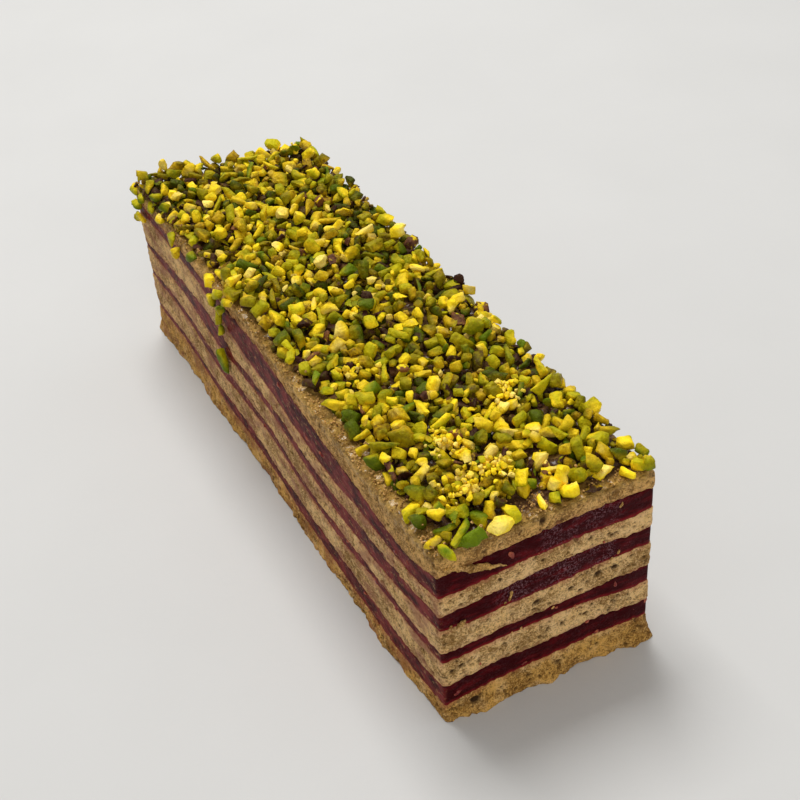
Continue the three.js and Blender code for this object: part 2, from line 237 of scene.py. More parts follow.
def drum(name, rows):
    """A drum with a rim of columns and rows, and each corner's row and column."""
    bpy.ops.object.select_all(action="DESELECT")
    bpy.ops.mesh.primitive_cylinder_add(vertices=COLUMNS, radius=1, depth=1, end_fill_type="TRIFAN")
    piece = bpy.context.object
    piece.name = name
    mesh = piece.data
    co = corners_of(mesh)
    ends = np.array([edge.vertices for edge in mesh.edges])
    upright = np.abs(co[ends[:, 0], 2] - co[ends[:, 1], 2]) > 0.5
    mesh.vertices.foreach_set("select", np.zeros(len(mesh.vertices), bool))
    mesh.polygons.foreach_set("select", np.zeros(len(mesh.polygons), bool))
    mesh.edges.foreach_set("select", upright)
    bpy.context.tool_settings.mesh_select_mode = (False, True, False)
    bpy.ops.object.mode_set(mode="EDIT")
    bpy.ops.mesh.subdivide(number_cuts=rows - 1)
    bpy.ops.object.mode_set(mode="OBJECT")
    bpy.context.tool_settings.mesh_select_mode = (True, False, False)
    co = corners_of(mesh)
    row = np.rint((co[:, 2] + 0.5) * rows).astype(int)
    column = np.rint(np.arctan2(co[:, 1], co[:, 0]) / (2 * np.pi) * COLUMNS).astype(int) % COLUMNS
    hub = np.hypot(co[:, 0], co[:, 1]) < 0.5
    return piece, row, column, hub


def give(mesh, name, values):
    """Stores one number for each corner, for the material to read."""
    stored = mesh.attributes.new(name, "FLOAT", "POINT")
    stored.data.foreach_set("value", np.asarray(values, dtype=np.float32))


def shape_drum(name, wall, relief, marks):
    """A sheet as a drum whose rim follows the wall, moved outward by its relief, with its marks."""
    piece, row, column, hub = drum(name, len(wall) - 1)
    face = wall.copy()
    face[..., :2] += outward * relief[..., None]
    co = face[row, column]
    co[hub, :2] = middle_of_cut
    co[hub, 2] = wall[row[hub], :, 2].mean(axis=1)
    put_corners(piece.data, co)
    for mark, values in marks.items():
        give(piece.data, mark, np.where(hub, 0, values[row, column]))
    piece.data.shade_smooth()
    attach(piece, "root")
    return piece


SPONGE_ROWS = 24
SPONGE_SWELL = 0.25  # crumb stands proud between its joints
# The crumb: the size of its lumps, how far they stand out, and their seed.
CRUMB_LUMPS = ((5.0, 0.12, 250), (2.2, 0.13, 222), (1.1, 0.13, 211), (0.7, 0.08, 207))
PITS_PER_SHEET = 900
PIT_RADIUS = (0.28, 0.75)
PIT_DEPTH = (0.25, 0.7)
PIT_CLEAR = 0.06  # the share of the sheet beside each joint that has no holes
MOSTLY_SMALL = 2.2  # over 1, so that most holes are small
BASE_FLARE = 1.4  # the base sheet spreads at its foot
FOOT_CURVE = 1.6  # over 1, so that it spreads at the very foot
BASE_LUMPS = ((5.5, 1, 61), (2.3, 0.5, 62), (1.1, 0.4, 63))  # its ragged edge: size, height and seed
SIDE_SPREAD = 0.55  # it spreads less along the sides than at the ends

# The larger holes that show on the near end: how far from the left, how high, the radius and the depth.
NEAR_END_HOLES = [
    (27, 30.6, 1.1, 1.0), (26.3, 28.4, 0.6, 0.8), (37, 30.1, 0.9, 0.9), (39.6, 28, 0.8, 0.9),
    (41.6, 30, 0.6, 0.7), (45, 31.3, 1.2, 0.9), (49.8, 31.4, 1.0, 1.1), (10.2, 30.4, 0.4, 0.7),
    (3, 17.8, 0.9, 0.8), (5.6, 18.6, 1.0, 0.9), (6.3, 15.6, 0.6, 0.7), (28, 20.7, 0.5, 0.7),
    (34.6, 18, 0.7, 0.8), (41.4, 18.5, 0.9, 1.1), (45.4, 17.6, 0.5, 0.7), (48, 16.9, 0.5, 0.6),
    (42.4, 45, 0.7, 0.8), (55, 45, 0.4, 0.6), (8.4, 3.7, 1.3, 1.4), (28.8, 58, 1.0, 1.2),
    (57.4, 42.3, 0.5, 0.6), (16.2, 4.4, 0.5, 0.7), (33, 4.6, 1.1, 0.6), (43, 55.6, 0.4, 0.5),
]
# And on the left side: how far from the far end.
LEFT_SIDE_HOLES = [
    (151, 15.5, 0.8, 0.8), (176, 17, 0.8, 0.9), (195, 14, 0.9, 0.8), (136, 38.4, 0.7, 0.7),
    (168, 41, 0.6, 0.7), (184, 28.3, 0.7, 0.7), (142, 26.4, 0.6, 0.6), (116, 29, 0.8, 0.7),
    (86, 39.5, 0.7, 0.7), (60, 29.4, 0.6, 0.6), (188, 55.6, 0.7, 0.8), (160, 54.8, 0.6, 0.7),
    (128, 57.2, 0.6, 0.7), (104, 15, 0.8, 0.7), (70, 16, 0.6, 0.6),
]
STRETCH = 1.25  # these holes are wider than high


def sponge_relief(wall, index):
    """How far the crumb stands out, and how deep its holes are, over a cut face."""
    draw = np.random.default_rng(100 + index)
    low, high = wall[0, :, 2], wall[-1, :, 2]
    share = (wall[..., 2] - low) / (high - low)
    relief = SPONGE_SWELL * (1 - (2 * share - 1) ** 6) + rough(wall, CRUMB_LUMPS, index)
    depth = np.zeros(wall.shape[:2])
    for _ in range(PITS_PER_SHEET):
        column = int(draw.integers(COLUMNS))
        height = low[column] + (high[column] - low[column]) * draw.uniform(PIT_CLEAR, 1 - PIT_CLEAR)
        large = draw.random() ** MOSTLY_SMALL
        radius = PIT_RADIUS[0] + (PIT_RADIUS[1] - PIT_RADIUS[0]) * large
        deepest = PIT_DEPTH[0] + (PIT_DEPTH[1] - PIT_DEPTH[0]) * large
        sink_pit(depth, wall, column, height, radius, deepest, draw.uniform(1, 1.5))
    holes = [(place / WIDTH * ACROSS, *rest) for place, *rest in NEAR_END_HOLES]
    holes += [(2 * ACROSS + ALONG + place / LENGTH * ALONG, *rest) for place, *rest in LEFT_SIDE_HOLES]
    for column, *hole in holes:
        column = int(column)
        if low[column] < hole[0] < high[column]:
            sink_pit(depth, wall, column, *hole, STRETCH)
    return relief - depth, depth


SEEP = np.where(column_u == 0, 2.6, 1.6)  # how far the jelly has stained the crumb, more so on the left
DRAGGED_AND_SHEEN = soften(column_u == 0, 2)  # 1 on the left side, where the knife dragged jelly over the cut and the jellies get a painted sheen


def near_joint(wall, lower=True, upper=True):
    """How near a point of the cut face is to its jelly, up to 1 at the joint."""
    below = wall[..., 2] - wall[0, :, 2] if lower else np.inf
    above = wall[-1, :, 2] - wall[..., 2] if upper else np.inf
    return np.clip(1 - np.minimum(below, above) / SEEP, 0, 1)


sponges = []
for index, name in enumerate(sheet_names[:-1]):
    if not name.startswith("sponge"):
        continue
    wall = wall_grid(index, SPONGE_ROWS)
    relief, depth = sponge_relief(wall, index)
    marks = {
        "pit": depth,
        "seep": near_joint(wall, lower=index > 0),
        "foot": np.full(wall.shape[:2], -1),
        "dragged": np.broadcast_to(DRAGGED_AND_SHEEN, wall.shape[:2]),
    }
    if name == "sponge_base":
        foot = np.clip(1 - wall[..., 2] / joints[1], 0, 1)
        spread = np.where(np.abs(outward[:, 1]) > 0.5, 1, SIDE_SPREAD)
        relief = relief + foot**FOOT_CURVE * (BASE_FLARE + rough(wall, BASE_LUMPS)) * spread
        marks["foot"] = foot
    piece = shape_drum(name, wall, relief, marks)
    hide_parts(name)
    sponges.append(piece)


class Value:
    """A number that a material works out; plain arithmetic on it adds the nodes."""

    def __init__(self, finish, socket):
        self.finish = finish
        self.socket = socket

    def maths(self, operation, *inputs):
        return self.finish.node("ShaderNodeMath", {"operation": operation}, dict(enumerate(inputs)))

    def __add__(self, other):
        return self.maths("ADD", self, other)

    def __radd__(self, other):
        return self.maths("ADD", other, self)

    def __sub__(self, other):
        return self.maths("SUBTRACT", self, other)

    def __rsub__(self, other):
        return self.maths("SUBTRACT", other, self)

    def __mul__(self, other):
        return self.maths("MULTIPLY", self, other)

    def __rmul__(self, other):
        return self.maths("MULTIPLY", other, self)

    def at_least(self, least):
        return self.maths("MAXIMUM", self, least)

    def from_to(self, low, high):
        """0 at low and 1 at high, and in between along a smooth step."""
        sockets = {"Value": self, "From Min": low, "From Max": high}
        return self.finish.node("ShaderNodeMapRange", {"interpolation_type": "SMOOTHSTEP"}, sockets)


class Finish:
    """A material with one surface shader, and the ways to make its nodes."""

    def __init__(self, name):
        self.material = bpy.data.materials.new(name)
        self.material.use_nodes = True
        self.tree = self.material.node_tree
        self.tree.nodes.clear()
        self.place = self.node("ShaderNodeTexCoord", result="Object")

    def node(self, kind, settings=None, sockets=None, result=0):
        """Adds a node with its settings and what goes into its sockets, and gives one of its outputs."""
        made = self.tree.nodes.new(kind)
        for key, value in (settings or {}).items():
            setattr(made, key, value)
        for key, value in (sockets or {}).items():
            if isinstance(value, Value):
                self.tree.links.new(value.socket, made.inputs[key])
            else:
                made.inputs[key].default_value = value
        return Value(self, made.outputs[result]) if made.outputs else None

    def noise(self, size, detail=2, rough=0.5, stretch=None):
        """Grain whose lumps are of this size in millimetres."""
        place = self.place
        if stretch:
            place = self.node("ShaderNodeMapping", {}, {"Vector": place, "Scale": stretch})
        sockets = {"Vector": place, "Scale": 1 / (size * MM), "Detail": detail, "Roughness": rough}
        return self.node("ShaderNodeTexNoise", {}, sockets)

    def mark(self, name):
        """The number that the mesh stores under this name."""
        return self.node("ShaderNodeAttribute", {"attribute_name": name}, result="Fac")

    def blend(self, share, first, second, way="MIX"):
        """The first colour at 0 and the second at 1."""
        settings = {"data_type": "RGBA", "blend_type": way}
        return self.node("ShaderNodeMix", settings, {0: share, 6: first, 7: second}, result=2)

    def tint(self, share, colour, dye):
        """Multiplies a colour by a dye, as far as share says."""
        return self.blend(share, colour, dye, "MULTIPLY")

    def bump(self, height, depth):
        """Raises the surface by height times a depth in millimetres."""
        return self.node("ShaderNodeBump", {}, {"Height": height, "Distance": depth * MM, "Strength": 1})

    def surface(self, **sockets):
        """Makes the shader; the names of its sockets are written with underscores."""
        named = {key.replace("_", " "): value for key, value in sockets.items()}
        shader = self.node("ShaderNodeBsdfPrincipled", {}, named)
        self.node("ShaderNodeOutputMaterial", {}, {"Surface": shader})


CRUMB_LIGHT = (0.86, 0.55, 0.22, 1)
CRUMB_PALE = (0.86, 0.565, 0.255, 1)
CRUMB_DARK = (0.27, 0.14, 0.035, 1)
CRUMB_HOLE_SHADE = (0.06, 0.026, 0.006, 1)  # painted shade inside the holes and pores
CRUMB_STAINED = (0.52, 0.19, 0.10, 1)
CRUMB_DRAGGED = (0.36, 0.15, 0.09, 1)
CRUMB_BAKED = (0.86, 0.74, 0.42, 1)  # what baking leaves of the crumb's colour
CRUMB_GLOW = {"Subsurface_Weight": 0.1, "Subsurface_Radius": (1.0, 0.6, 0.3), "Subsurface_Scale": 0.8 * MM}


def crumb_colour(finish):
    """The colour of cut sponge, with painted shade in its holes and hollows, and the height of its fine
    crumb.
    """
    grain = finish.noise(0.52, 3, 0.75)
    coarse = finish.noise(1.9, 2)
    patch = finish.noise(11, 3)
    height = grain * 0.7 + coarse * 0.3
    # Darker where the fine crumb lies low: partly the crumb's own mottle, partly painted shade in its
    # hollows.
    mottle_and_shade = (height + (patch - 0.5) * 0.5).from_to(0.6, 0.38)
    light = finish.blend(finish.noise(3.5, 3, 0.6).from_to(0.4, 0.62), CRUMB_LIGHT, CRUMB_PALE)
    colour = finish.blend(mottle_and_shade, light, CRUMB_DARK)
    # The holes and fine pores are sunk into the relief, and are also darkened with painted shade.
    pore = finish.noise(0.6, 2, 0.6).from_to(0.39, 0.31)
    deep = finish.node("ShaderNodeClamp", {}, {"Value": finish.mark("pit") * 1.5 + pore * 0.6})
    colour = finish.blend(deep, colour, CRUMB_HOLE_SHADE)
    seep = finish.mark("seep").from_to(0, 1.1) * finish.noise(2.5, 3).from_to(0.35, 0.6) * 0.55
    colour = finish.blend(seep, colour, CRUMB_STAINED)
    drag = finish.noise(4.2, 4, 0.55, stretch=(1, 0.45, 0.9)).from_to(0.46, 0.66) * 0.7
    return finish.blend(finish.mark("dragged") * drag, colour, CRUMB_DRAGGED), height - pore * 0.3


sponge = Finish("sponge crumb")
crumb, crumb_height = crumb_colour(sponge)
baked = sponge.mark("foot").from_to(-0.7, 0.4) * sponge.noise(5, 3).from_to(0.2, 0.55)
sponge.surface(
    Base_Color=sponge.tint(baked, crumb, CRUMB_BAKED),
    Roughness=0.85,
    Specular_IOR_Level=0.25,
    Normal=sponge.bump(crumb_height, 0.7),
    **CRUMB_GLOW,
)
for piece in sponges:
    piece.data.materials.append(sponge.material)


# --------------------------------------------------------------------------------------------------
# The jellies.
# Berry puree set firm with pectin, poured on each sheet in turn and cut through with it. The knife leaves
# it smooth and a little drawn back, with fine pale scrapes, and it is thin and red over the sheet below.

JELLY_ROWS = 14
JELLY_DRAWN_BACK = 0.12  # how far it lies behind the line of the knife
JELLY_SWELL = 0.1  # how far it stands out between its joints
JELLY_WAVES = ((9, 0.14, 300), (2.5, 0.05, 310))  # their size, height and seed
RED_HEIGHT = 3  # over which it goes from red at its lower joint to dark
# Scraped, whitish patches on the near end: from and to along it, the sheet, and how strong.
BLOOMS = [(24, 54, "jelly_4", 0.75), (14, 56, "jelly_3", 1.0), (52, 59, "jelly_2", 0.4)]
FAINT_BLOOM = 0.12  # what there is everywhere
BLOOM_EDGE = 7  # over which a patch fades in


def bloom_mark(name):
    """How scraped the cut is at each column."""
    bloom = np.full(COLUMNS, FAINT_BLOOM)
    position = column_u * WIDTH
    for start, end, sheet, strength in BLOOMS:
        if sheet == name:
            rise = np.clip(np.minimum(position - start, end - position) / BLOOM_EDGE, 0, 1)
            bloom[:ACROSS] = np.maximum(bloom[:ACROSS], strength * rise[:ACROSS])
    return bloom


jellies = []
for index, name in enumerate(sheet_names):
    if not name.startswith("jelly"):
        continue
    wall = wall_grid(index, JELLY_ROWS)
    share = np.linspace(0, 1, JELLY_ROWS + 1)[:, None]
    swell = JELLY_SWELL * (1 - (2 * share - 1) ** 4)
    relief = swell - JELLY_DRAWN_BACK + rough(wall, JELLY_WAVES, index)
    marks = {
        "above": np.clip((wall[..., 2] - wall[0, :, 2]) / RED_HEIGHT, 0, 1),
        "bloom": np.broadcast_to(bloom_mark(name), wall.shape[:2]),
        "smear_and_sheen": np.broadcast_to(DRAGGED_AND_SHEEN, wall.shape[:2]),
    }
    piece = shape_drum(name, wall, relief, marks)
    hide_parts(name)
    jellies.append(piece)

JELLY_DEEP = (0.033, 0.0010, 0.0020, 1)
JELLY_RED = (0.22, 0.009, 0.013, 1)
# The left side's jelly colour: partly jelly drawn over the cut, partly painted sheen.
JELLY_SMEAR_AND_SHEEN = (0.26, 0.036, 0.032, 1)
JELLY_BLOOM = (0.30, 0.15, 0.17, 1)

jelly = Finish("set berry jelly")
above = jelly.mark("above") + (jelly.noise(3, 2) - 0.5) * 0.4
streak = jelly.noise(2.2, 3, 0.6, stretch=(0.3, 0.22, 1)).from_to(0.46, 0.72)
thin = jelly.node("ShaderNodeClamp", {}, {"Value": above.from_to(0.5, -0.1) + streak * 0.33})
colour = jelly.blend(thin, JELLY_DEEP, JELLY_RED)
# On the left side the jelly is lighter and redder: partly jelly drawn over the cut by the knife, partly
# painted sheen.
drag = jelly.noise(2.2, 4, 0.6, stretch=(1, 0.35, 0.8)).from_to(0.37, 0.64)
colour = jelly.blend(jelly.mark("smear_and_sheen") * drag * 0.75, colour, JELLY_SMEAR_AND_SHEEN)
dust = jelly.noise(1.1, 3, 0.7, stretch=(1, 0.55, 1)).from_to(0.58, 0.66)
colour = jelly.blend(jelly.mark("smear_and_sheen") * dust * 0.3, colour, CRUMB_LIGHT)
scrape = jelly.noise(0.5, 2, 0.7).from_to(0.48, 0.62)
patch = jelly.noise(5, 2).from_to(0.3, 0.6)
bloom = jelly.mark("bloom") * scrape * patch
jelly.surface(
    Base_Color=jelly.blend(bloom * 0.6, colour, JELLY_BLOOM),
    Roughness=0.4 + bloom * 0.4 + jelly.noise(4, 2) * 0.12,
    Specular_IOR_Level=0.045,
    Specular_Tint=(1, 0.3, 0.35, 1),
    Subsurface_Weight=0.1,
    Subsurface_Radius=(1.0, 0.08, 0.08),
    Subsurface_Scale=1.2 * MM,
    Normal=jelly.bump(jelly.noise(1.6, 3, 0.6) + bloom * 0.4, 0.3),
)
for piece in jellies:
    piece.data.materials.append(jelly.material)


# --------------------------------------------------------------------------------------------------
# The top sheet.
# The last sheet of sponge, baked side up and brushed with a clear golden glaze that holds the nuts. It is a
# fine grid whose border is drawn down to the last joint, so the crust and the cut edge are one surface.

TOP_ROWS = 12
# How far the nuts and the pooled glaze, with its painted shade, stay from the left edge, from the near to
# the far end, and how far the nuts stay from the near edge, from the left to the right corner.
LEFT_MARGIN = [4.2, 4.4, 4.2, 4.6, 4.0, 3.6, 2.4, 3.2, 2.2, 0.8, 0.6]
NEAR_MARGIN = [1.5, 1.5, 2.5, 6, 7, 9, 5, 4, 6, 4, 2, 1]
SYRUP_AND_SHADE_MARGIN = 1.8  # how far the pooled glaze and its painted shade stay from the near edge
SYRUP_AND_SHADE_EDGE = 2.5  # over which it thins out
EDGE_ROUND = 1.3  # the radius to which the crust's edge has worn
RIM_FALL = 0.29 * EDGE_ROUND  # the rim itself is halfway round the worn edge
# The baked crust: the size of its lumps, their height and their seed.
CRUST_LUMPS = ((9.0, 0.25, 490), (3.0, 0.2, 430), (1.4, 0.26, 414), (0.8, 0.18, 408))
CRUST_LEVEL = 59.0  # the level at which those lumps are cut
RIM_RELIEF = 0.6  # the share of the crust's relief that its rim has
GLAZE_RUN = 8  # rows over which the glaze on the rim fades down the cut


def top_height(u, v):
    """The height of the glazed crust before its relief."""
    left_side = np.append(joints[-1][2 * ACROSS + ALONG:], joints[-1][0])
    right_side = joints[-1][ACROSS:ACROSS + ALONG + 1]
    steps = np.arange(ALONG + 1) / ALONG
    return np.interp(1 - v, steps, left_side) * (1 - u) + np.interp(v, steps, right_side) * u


def margin(share, widths):
    """The width of a margin at this share of its edge."""
    return np.interp(share, np.linspace(0, 1, len(widths)), widths)


def crust_relief(points):
    """How the baked crust rises and falls."""
    flat = np.concatenate([points, np.full((*points.shape[:-1], 1), CRUST_LEVEL)], axis=-1)
    return rough(flat, CRUST_LUMPS)


bpy.ops.object.select_all(action="DESELECT")
bpy.ops.mesh.primitive_grid_add(x_subdivisions=ACROSS, y_subdivisions=ALONG, size=2)
top_sheet = bpy.context.object
top_sheet.name = "sponge_top"
bpy.ops.object.mode_set(mode="EDIT")
bpy.ops.mesh.select_all(action="SELECT")
bpy.ops.mesh.region_to_loop()
for _ in range(TOP_ROWS):
    bpy.ops.mesh.extrude_region_move(TRANSFORM_OT_translate={"value": (0, 0, -1)})
bpy.ops.mesh.extrude_region_move(TRANSFORM_OT_translate={"value": (0, 0, -1)})
bpy.ops.mesh.merge(type="CENTER")
bpy.ops.mesh.select_all(action="SELECT")
bpy.ops.mesh.normals_make_consistent(inside=False)
bpy.ops.object.mode_set(mode="OBJECT")
co = corners_of(top_sheet.data)
step_u = np.rint((co[:, 0] + 1) / 2 * ACROSS).astype(int)
step_v = np.rint((co[:, 1] + 1) / 2 * ALONG).astype(int)
row = np.rint(-co[:, 2]).astype(int)
column = np.select(
    [step_v == 0, step_u == ACROSS, step_v == ALONG],
    [step_u, ACROSS + step_v, 2 * ACROSS + ALONG - step_u],
    2 * ACROSS + 2 * ALONG - step_v,
) % COLUMNS
rim = (step_u == 0) | (step_u == ACROSS) | (step_v == 0) | (step_v == ALONG)
hub = row > TOP_ROWS
wall = wall_grid(len(SHEETS) - 1, TOP_ROWS)
relief, depth = sponge_relief(wall, len(SHEETS) - 1)
above_bend = np.clip(wall[..., 2] - (wall[-1, :, 2] - EDGE_ROUND), 0, EDGE_ROUND - RIM_FALL)
relief = relief - EDGE_ROUND + np.sqrt(EDGE_ROUND**2 - above_bend**2)
wall[-1, :, 2] -= RIM_FALL
level = np.clip(TOP_ROWS - row, 0, TOP_ROWS)
face = wall.copy()
face[..., :2] += outward * relief[..., None]
shaped = np.empty_like(co)
on_wall = rim & ~hub
shaped[on_wall] = face[level[on_wall], column[on_wall]]
u, v = step_u / ACROSS, step_v / ALONG
from_edge = np.minimum(np.minimum(u, 1 - u) * WIDTH, np.minimum(v, 1 - v) * LENGTH)
inside = ~rim
shaped[inside, :2] = plan(u[inside], v[inside])
fall = np.clip(EDGE_ROUND - RIM_FALL - from_edge[inside], 0, EDGE_ROUND)
shaped[inside, 2] = top_height(u[inside], v[inside]) + crust_relief(shaped[inside, :2])
shaped[inside, 2] -= EDGE_ROUND - np.sqrt(EDGE_ROUND**2 - fall**2)
on_rim = on_wall & (row == 0)
shaped[on_rim, 2] += RIM_RELIEF * crust_relief(shaped[on_rim, :2])
shaped[hub] = (middle_of_cut.x, middle_of_cut.y, wall[0, :, 2].mean())
put_corners(top_sheet.data, shaped)
give(top_sheet.data, "pit", np.where(on_wall, depth[level, column], 0))
give(top_sheet.data, "seep", np.where(on_wall, near_joint(wall, upper=False)[level, column], 0))
give(top_sheet.data, "glazed", np.where(on_wall, np.clip(0.9 - row / GLAZE_RUN, 0, 1), 1))
# The pooled glaze, which also carries painted shade under and between the nuts.
over_margin = np.minimum(u * WIDTH - margin(v, LEFT_MARGIN), v * LENGTH - SYRUP_AND_SHADE_MARGIN)
give(top_sheet.data, "syrup_and_shade", np.where(inside, np.clip(over_margin / SYRUP_AND_SHADE_EDGE, 0, 1), 0))
top_sheet.data.shade_smooth()
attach(top_sheet, "root")
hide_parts("sponge_top_pistachios")

CRUST_GOLD = (0.80, 0.485, 0.098, 1)
CRUST_BROWN = (0.22, 0.11, 0.012, 1)
# The next colour: pooled glaze, darkened further as painted shade under and between the nuts.
CRUST_SYRUP_AND_SHADE = (0.05, 0.011, 0.003, 1)
CRUST_SOAKED = (1.0, 0.88, 0.6, 1)  # what the glaze leaves of the colour of the crumb that it soaks

glaze = Finish("glazed crust")
crumb, crumb_height = crumb_colour(glaze)
crumb = glaze.tint(0.8, crumb, CRUST_SOAKED)
# Browner where the crumb lies low: partly its baked colour, partly painted shade in its hollows.
tan_and_shade = (crumb_height * 0.6 + glaze.noise(4, 3, 0.6) * 0.7).from_to(0.95, 0.5)
crust = glaze.blend(tan_and_shade, CRUST_GOLD, CRUST_BROWN)
glazed = (glaze.mark("glazed") + (glaze.noise(2.5, 2) - 0.5) * 0.7).from_to(0.25, 0.95)
# Dark between the nuts: partly pooled glaze, partly painted shade under them.
pooled_and_shaded = glaze.mark("syrup_and_shade") * glaze.noise(5, 2).from_to(0.3, 0.5)
crust = glaze.blend(pooled_and_shaded, crust, CRUST_SYRUP_AND_SHADE)
glaze.surface(
    Base_Color=glaze.blend(glazed * 0.9, crumb, crust),
    Roughness=0.85 - glazed * 0.45,
    Specular_IOR_Level=0.3,
    Coat_Weight=glazed * glaze.noise(2, 2).from_to(0.42, 0.62) * 0.5,
    Coat_Roughness=0.2,
    Normal=glaze.bump(crumb_height, 1.1),
    **CRUMB_GLOW,
)
top_sheet.data.materials.append(glaze.material)


# --------------------------------------------------------------------------------------------------
# The torn crumb.
# Where the knife came out at the near left corner it tore a tongue of sponge off the top sheet, which hangs
# over the last jelly, and it dragged crumbs over the jellies.

TORN_LUMPS = ((1.6, 0.42), (0.7, 0.26))  # lump size, and height as a share of the thickness
TORN_FLAT = 0.8  # its thickness as a share of its height
TORN_STEPS = 49  # steps in which it gets thinner or thicker


def torn(start, end, thick, out, seed, detail=3):
    """A ragged tongue or crumb on the near end: where its ends are, how thick and how far out they are."""
    bpy.ops.object.select_all(action="DESELECT")
    bpy.ops.mesh.primitive_ico_sphere_add(subdivisions=detail, radius=1)
    piece = bpy.context.object
    co = corners_of(piece.data)
    share = (co[:, 0] + 1) / 2
    half = np.interp(np.floor(share * TORN_STEPS) / TORN_STEPS, (0, 1), thick)
    middle = start + np.subtract(end, start) * share[:, None]
    across = middle[:, 0] / WIDTH
    body = np.column_stack([plan(across, np.zeros_like(across)), middle[:, 1]])
    body[:, 1] += co[:, 1] * half * TORN_FLAT - out[0] - (out[1] - out[0]) * share
    body[:, 2] += co[:, 2] * half
    for size, height in TORN_LUMPS:
        body += height * half[:, None] * lumps_each_way(body, size, seed)
    put_corners(piece.data, body)
    return piece


def join(pieces, name):
    """Joins pieces to the first of them."""
    bpy.ops.object.select_all(action="DESELECT")
    for piece in pieces:
        piece.select_set(True)
    bpy.context.view_layer.objects.active = pieces[0]
    bpy.ops.object.join()
    pieces[0].name = name
    pieces[0].data.shade_smooth()
    return pieces[0]


tongue = torn((4.5, 54.0), (17.8, 49.6), (1.5, 0.45), (0.2, 1.5), 700, detail=5)
# Crumbs: how far from the left and how high each one's ends are, half their height, and how far out it is.
CRUMBS = [
    ((4.6, 33.5), (6.8, 35.2), (0.9, 0.7), 0.5), ((18.7, 35.6), (19.9, 38.2), (0.6, 0.7), 0.4),
    ((50.2, 52.2), (50.9, 53.6), (0.5, 0.5), 0.2), ((50, 36.2), (50.8, 37.2), (0.4, 0.4), 0.2),
    ((48.2, 34.8), (48.9, 35.4), (0.4, 0.3), 0.2), ((31, 25.8), (32, 26.3), (0.3, 0.3), 0.1),
    ((22, 23.2), (22.6, 23.5), (0.3, 0.3), 0.1), ((19.5, 22.9), (20, 23.3), (0.3, 0.25), 0.1),
    ((2.6, 34.1), (3.5, 34.6), (0.4, 0.3), 0.2), ((17.6, 34.9), (18.3, 35.2), (0.3, 0.3), 0.2),
    ((43, 8.6), (44, 9.1), (0.3, 0.4), 0.1), ((1.5, 54.6), (6.5, 53.6), (0.9, 1.0), 0.0),
    ((26, 56.2), (27.5, 56.4), (0.6, 0.5), 0.0), ((12.4, 57.6), (14.6, 57.2), (0.6, 0.7), -0.1),
]
crumbs = [
    torn(start, end, thick, (out, out), 720 + 5 * index)
    for index, (start, end, thick, out) in enumerate(CRUMBS)
]
torn_crumb = join([tongue, *crumbs], "torn_crumb")
torn_crumb.data.materials.append(sponge.material)
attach(torn_crumb, "root")


# --------------------------------------------------------------------------------------------------
# The seeds.
# Berry seeds and threads of pulp in the jellies, where the knife has cut them or left them standing out.

# On the near end: how far from the left, how high, the size and the tilt.
NEAR_END_SEEDS = [
    (20.2, 50.5, 1.0, 1.8, 0.4), (50, 24.8, 0.7, 1.6, 0.0), (32.5, 25.5, 0.8, 0.6, 0),
    (3.8, 8.8, 1.9, 0.9, 0.3), (23, 9.3, 1.2, 0.7, 0.3), (44.8, 9.4, 1.3, 0.8, 0.5),
    (41.8, 15.0, 0.9, 0.6, 0.4), (59.4, 13.5, 1.2, 1.1, 0.2), (10.5, 16.2, 0.5, 0.5, 0),
    (56, 12.2, 0.5, 0.4, 0), (38, 22.9, 0.6, 0.4, 0.2), (46, 42.2, 0.5, 0.4, 0),
    (27.5, 47.5, 0.4, 0.4, 0), (57.5, 50.9, 0.5, 0.5, 0),
]
# On the left side: how far from the far end.
LEFT_SIDE_SEEDS = [
    (112, 51, 1.8, 1.1, 0.5), (129, 45, 2.2, 0.9, 0.6), (138.5, 46, 1.4, 1.0, 0.5),
    (180, 44.6, 1.3, 0.9, 0.4), (186, 46.2, 1.0, 0.8, 0.4), (166, 21.6, 1.8, 0.9, 0.2),
    (177, 21.4, 1.4, 0.9, 0.2), (102, 36.0, 1.6, 0.8, 0.3), (93, 22.6, 1.0, 0.6, 0.2),
    (74, 38.9, 1.4, 0.8, 0.3), (150, 23.0, 1.0, 0.6, 0), (158, 9.6, 1.0, 0.7, 0.2),
]
SEED_HALF = (0.75, 0.7)  # half its length and height, as shares of the size in the tables
SEED_THICK = 0.32  # half its thickness
SEED_SUNK = 0.05  # how deep its middle lies in the jelly
SEED_RAGGED = 0.3  # how uneven it is
SEED_LUMP = 0.6  # and over what length


def seed(place, size, tilt, side):
    """One seed lying flat on a cut side, which faces along -Y at the near end and along -X on the left."""
    bpy.ops.object.select_all(action="DESELECT")
    bpy.ops.mesh.primitive_ico_sphere_add(subdivisions=2, radius=1)
    piece = bpy.context.object
    long, short = np.multiply(size, SEED_HALF)
    piece.scale = (long, SEED_THICK, short) if side == "near" else (SEED_THICK, long, short)
    piece.rotation_euler = (0, -tilt, 0) if side == "near" else (tilt, 0, 0)
    piece.location = place
    bpy.ops.object.transform_apply(location=True, rotation=True, scale=True)
    return piece


seeds = []
for aside, height, long, short, tilt in NEAR_END_SEEDS:
    x, y = plan(aside / WIDTH, 0)
    seeds.append(seed((x, y + SEED_SUNK, height), (long, short), tilt, "near"))
for back, height, long, short, tilt in LEFT_SIDE_SEEDS:
    x, y = plan(0, 1 - back / LENGTH)
    seeds.append(seed((x + SEED_SUNK, y, height), (long, short), tilt, "left"))
pulp = join(seeds, "berry_seeds")
co = corners_of(pulp.data)
put_corners(pulp.data, co + SEED_RAGGED * lumps_each_way(co, SEED_LUMP, 800))
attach(pulp, "root")

SEED_RED = (0.16, 0.008, 0.01, 1)
SEED_TAN = (0.42, 0.1, 0.045, 1)

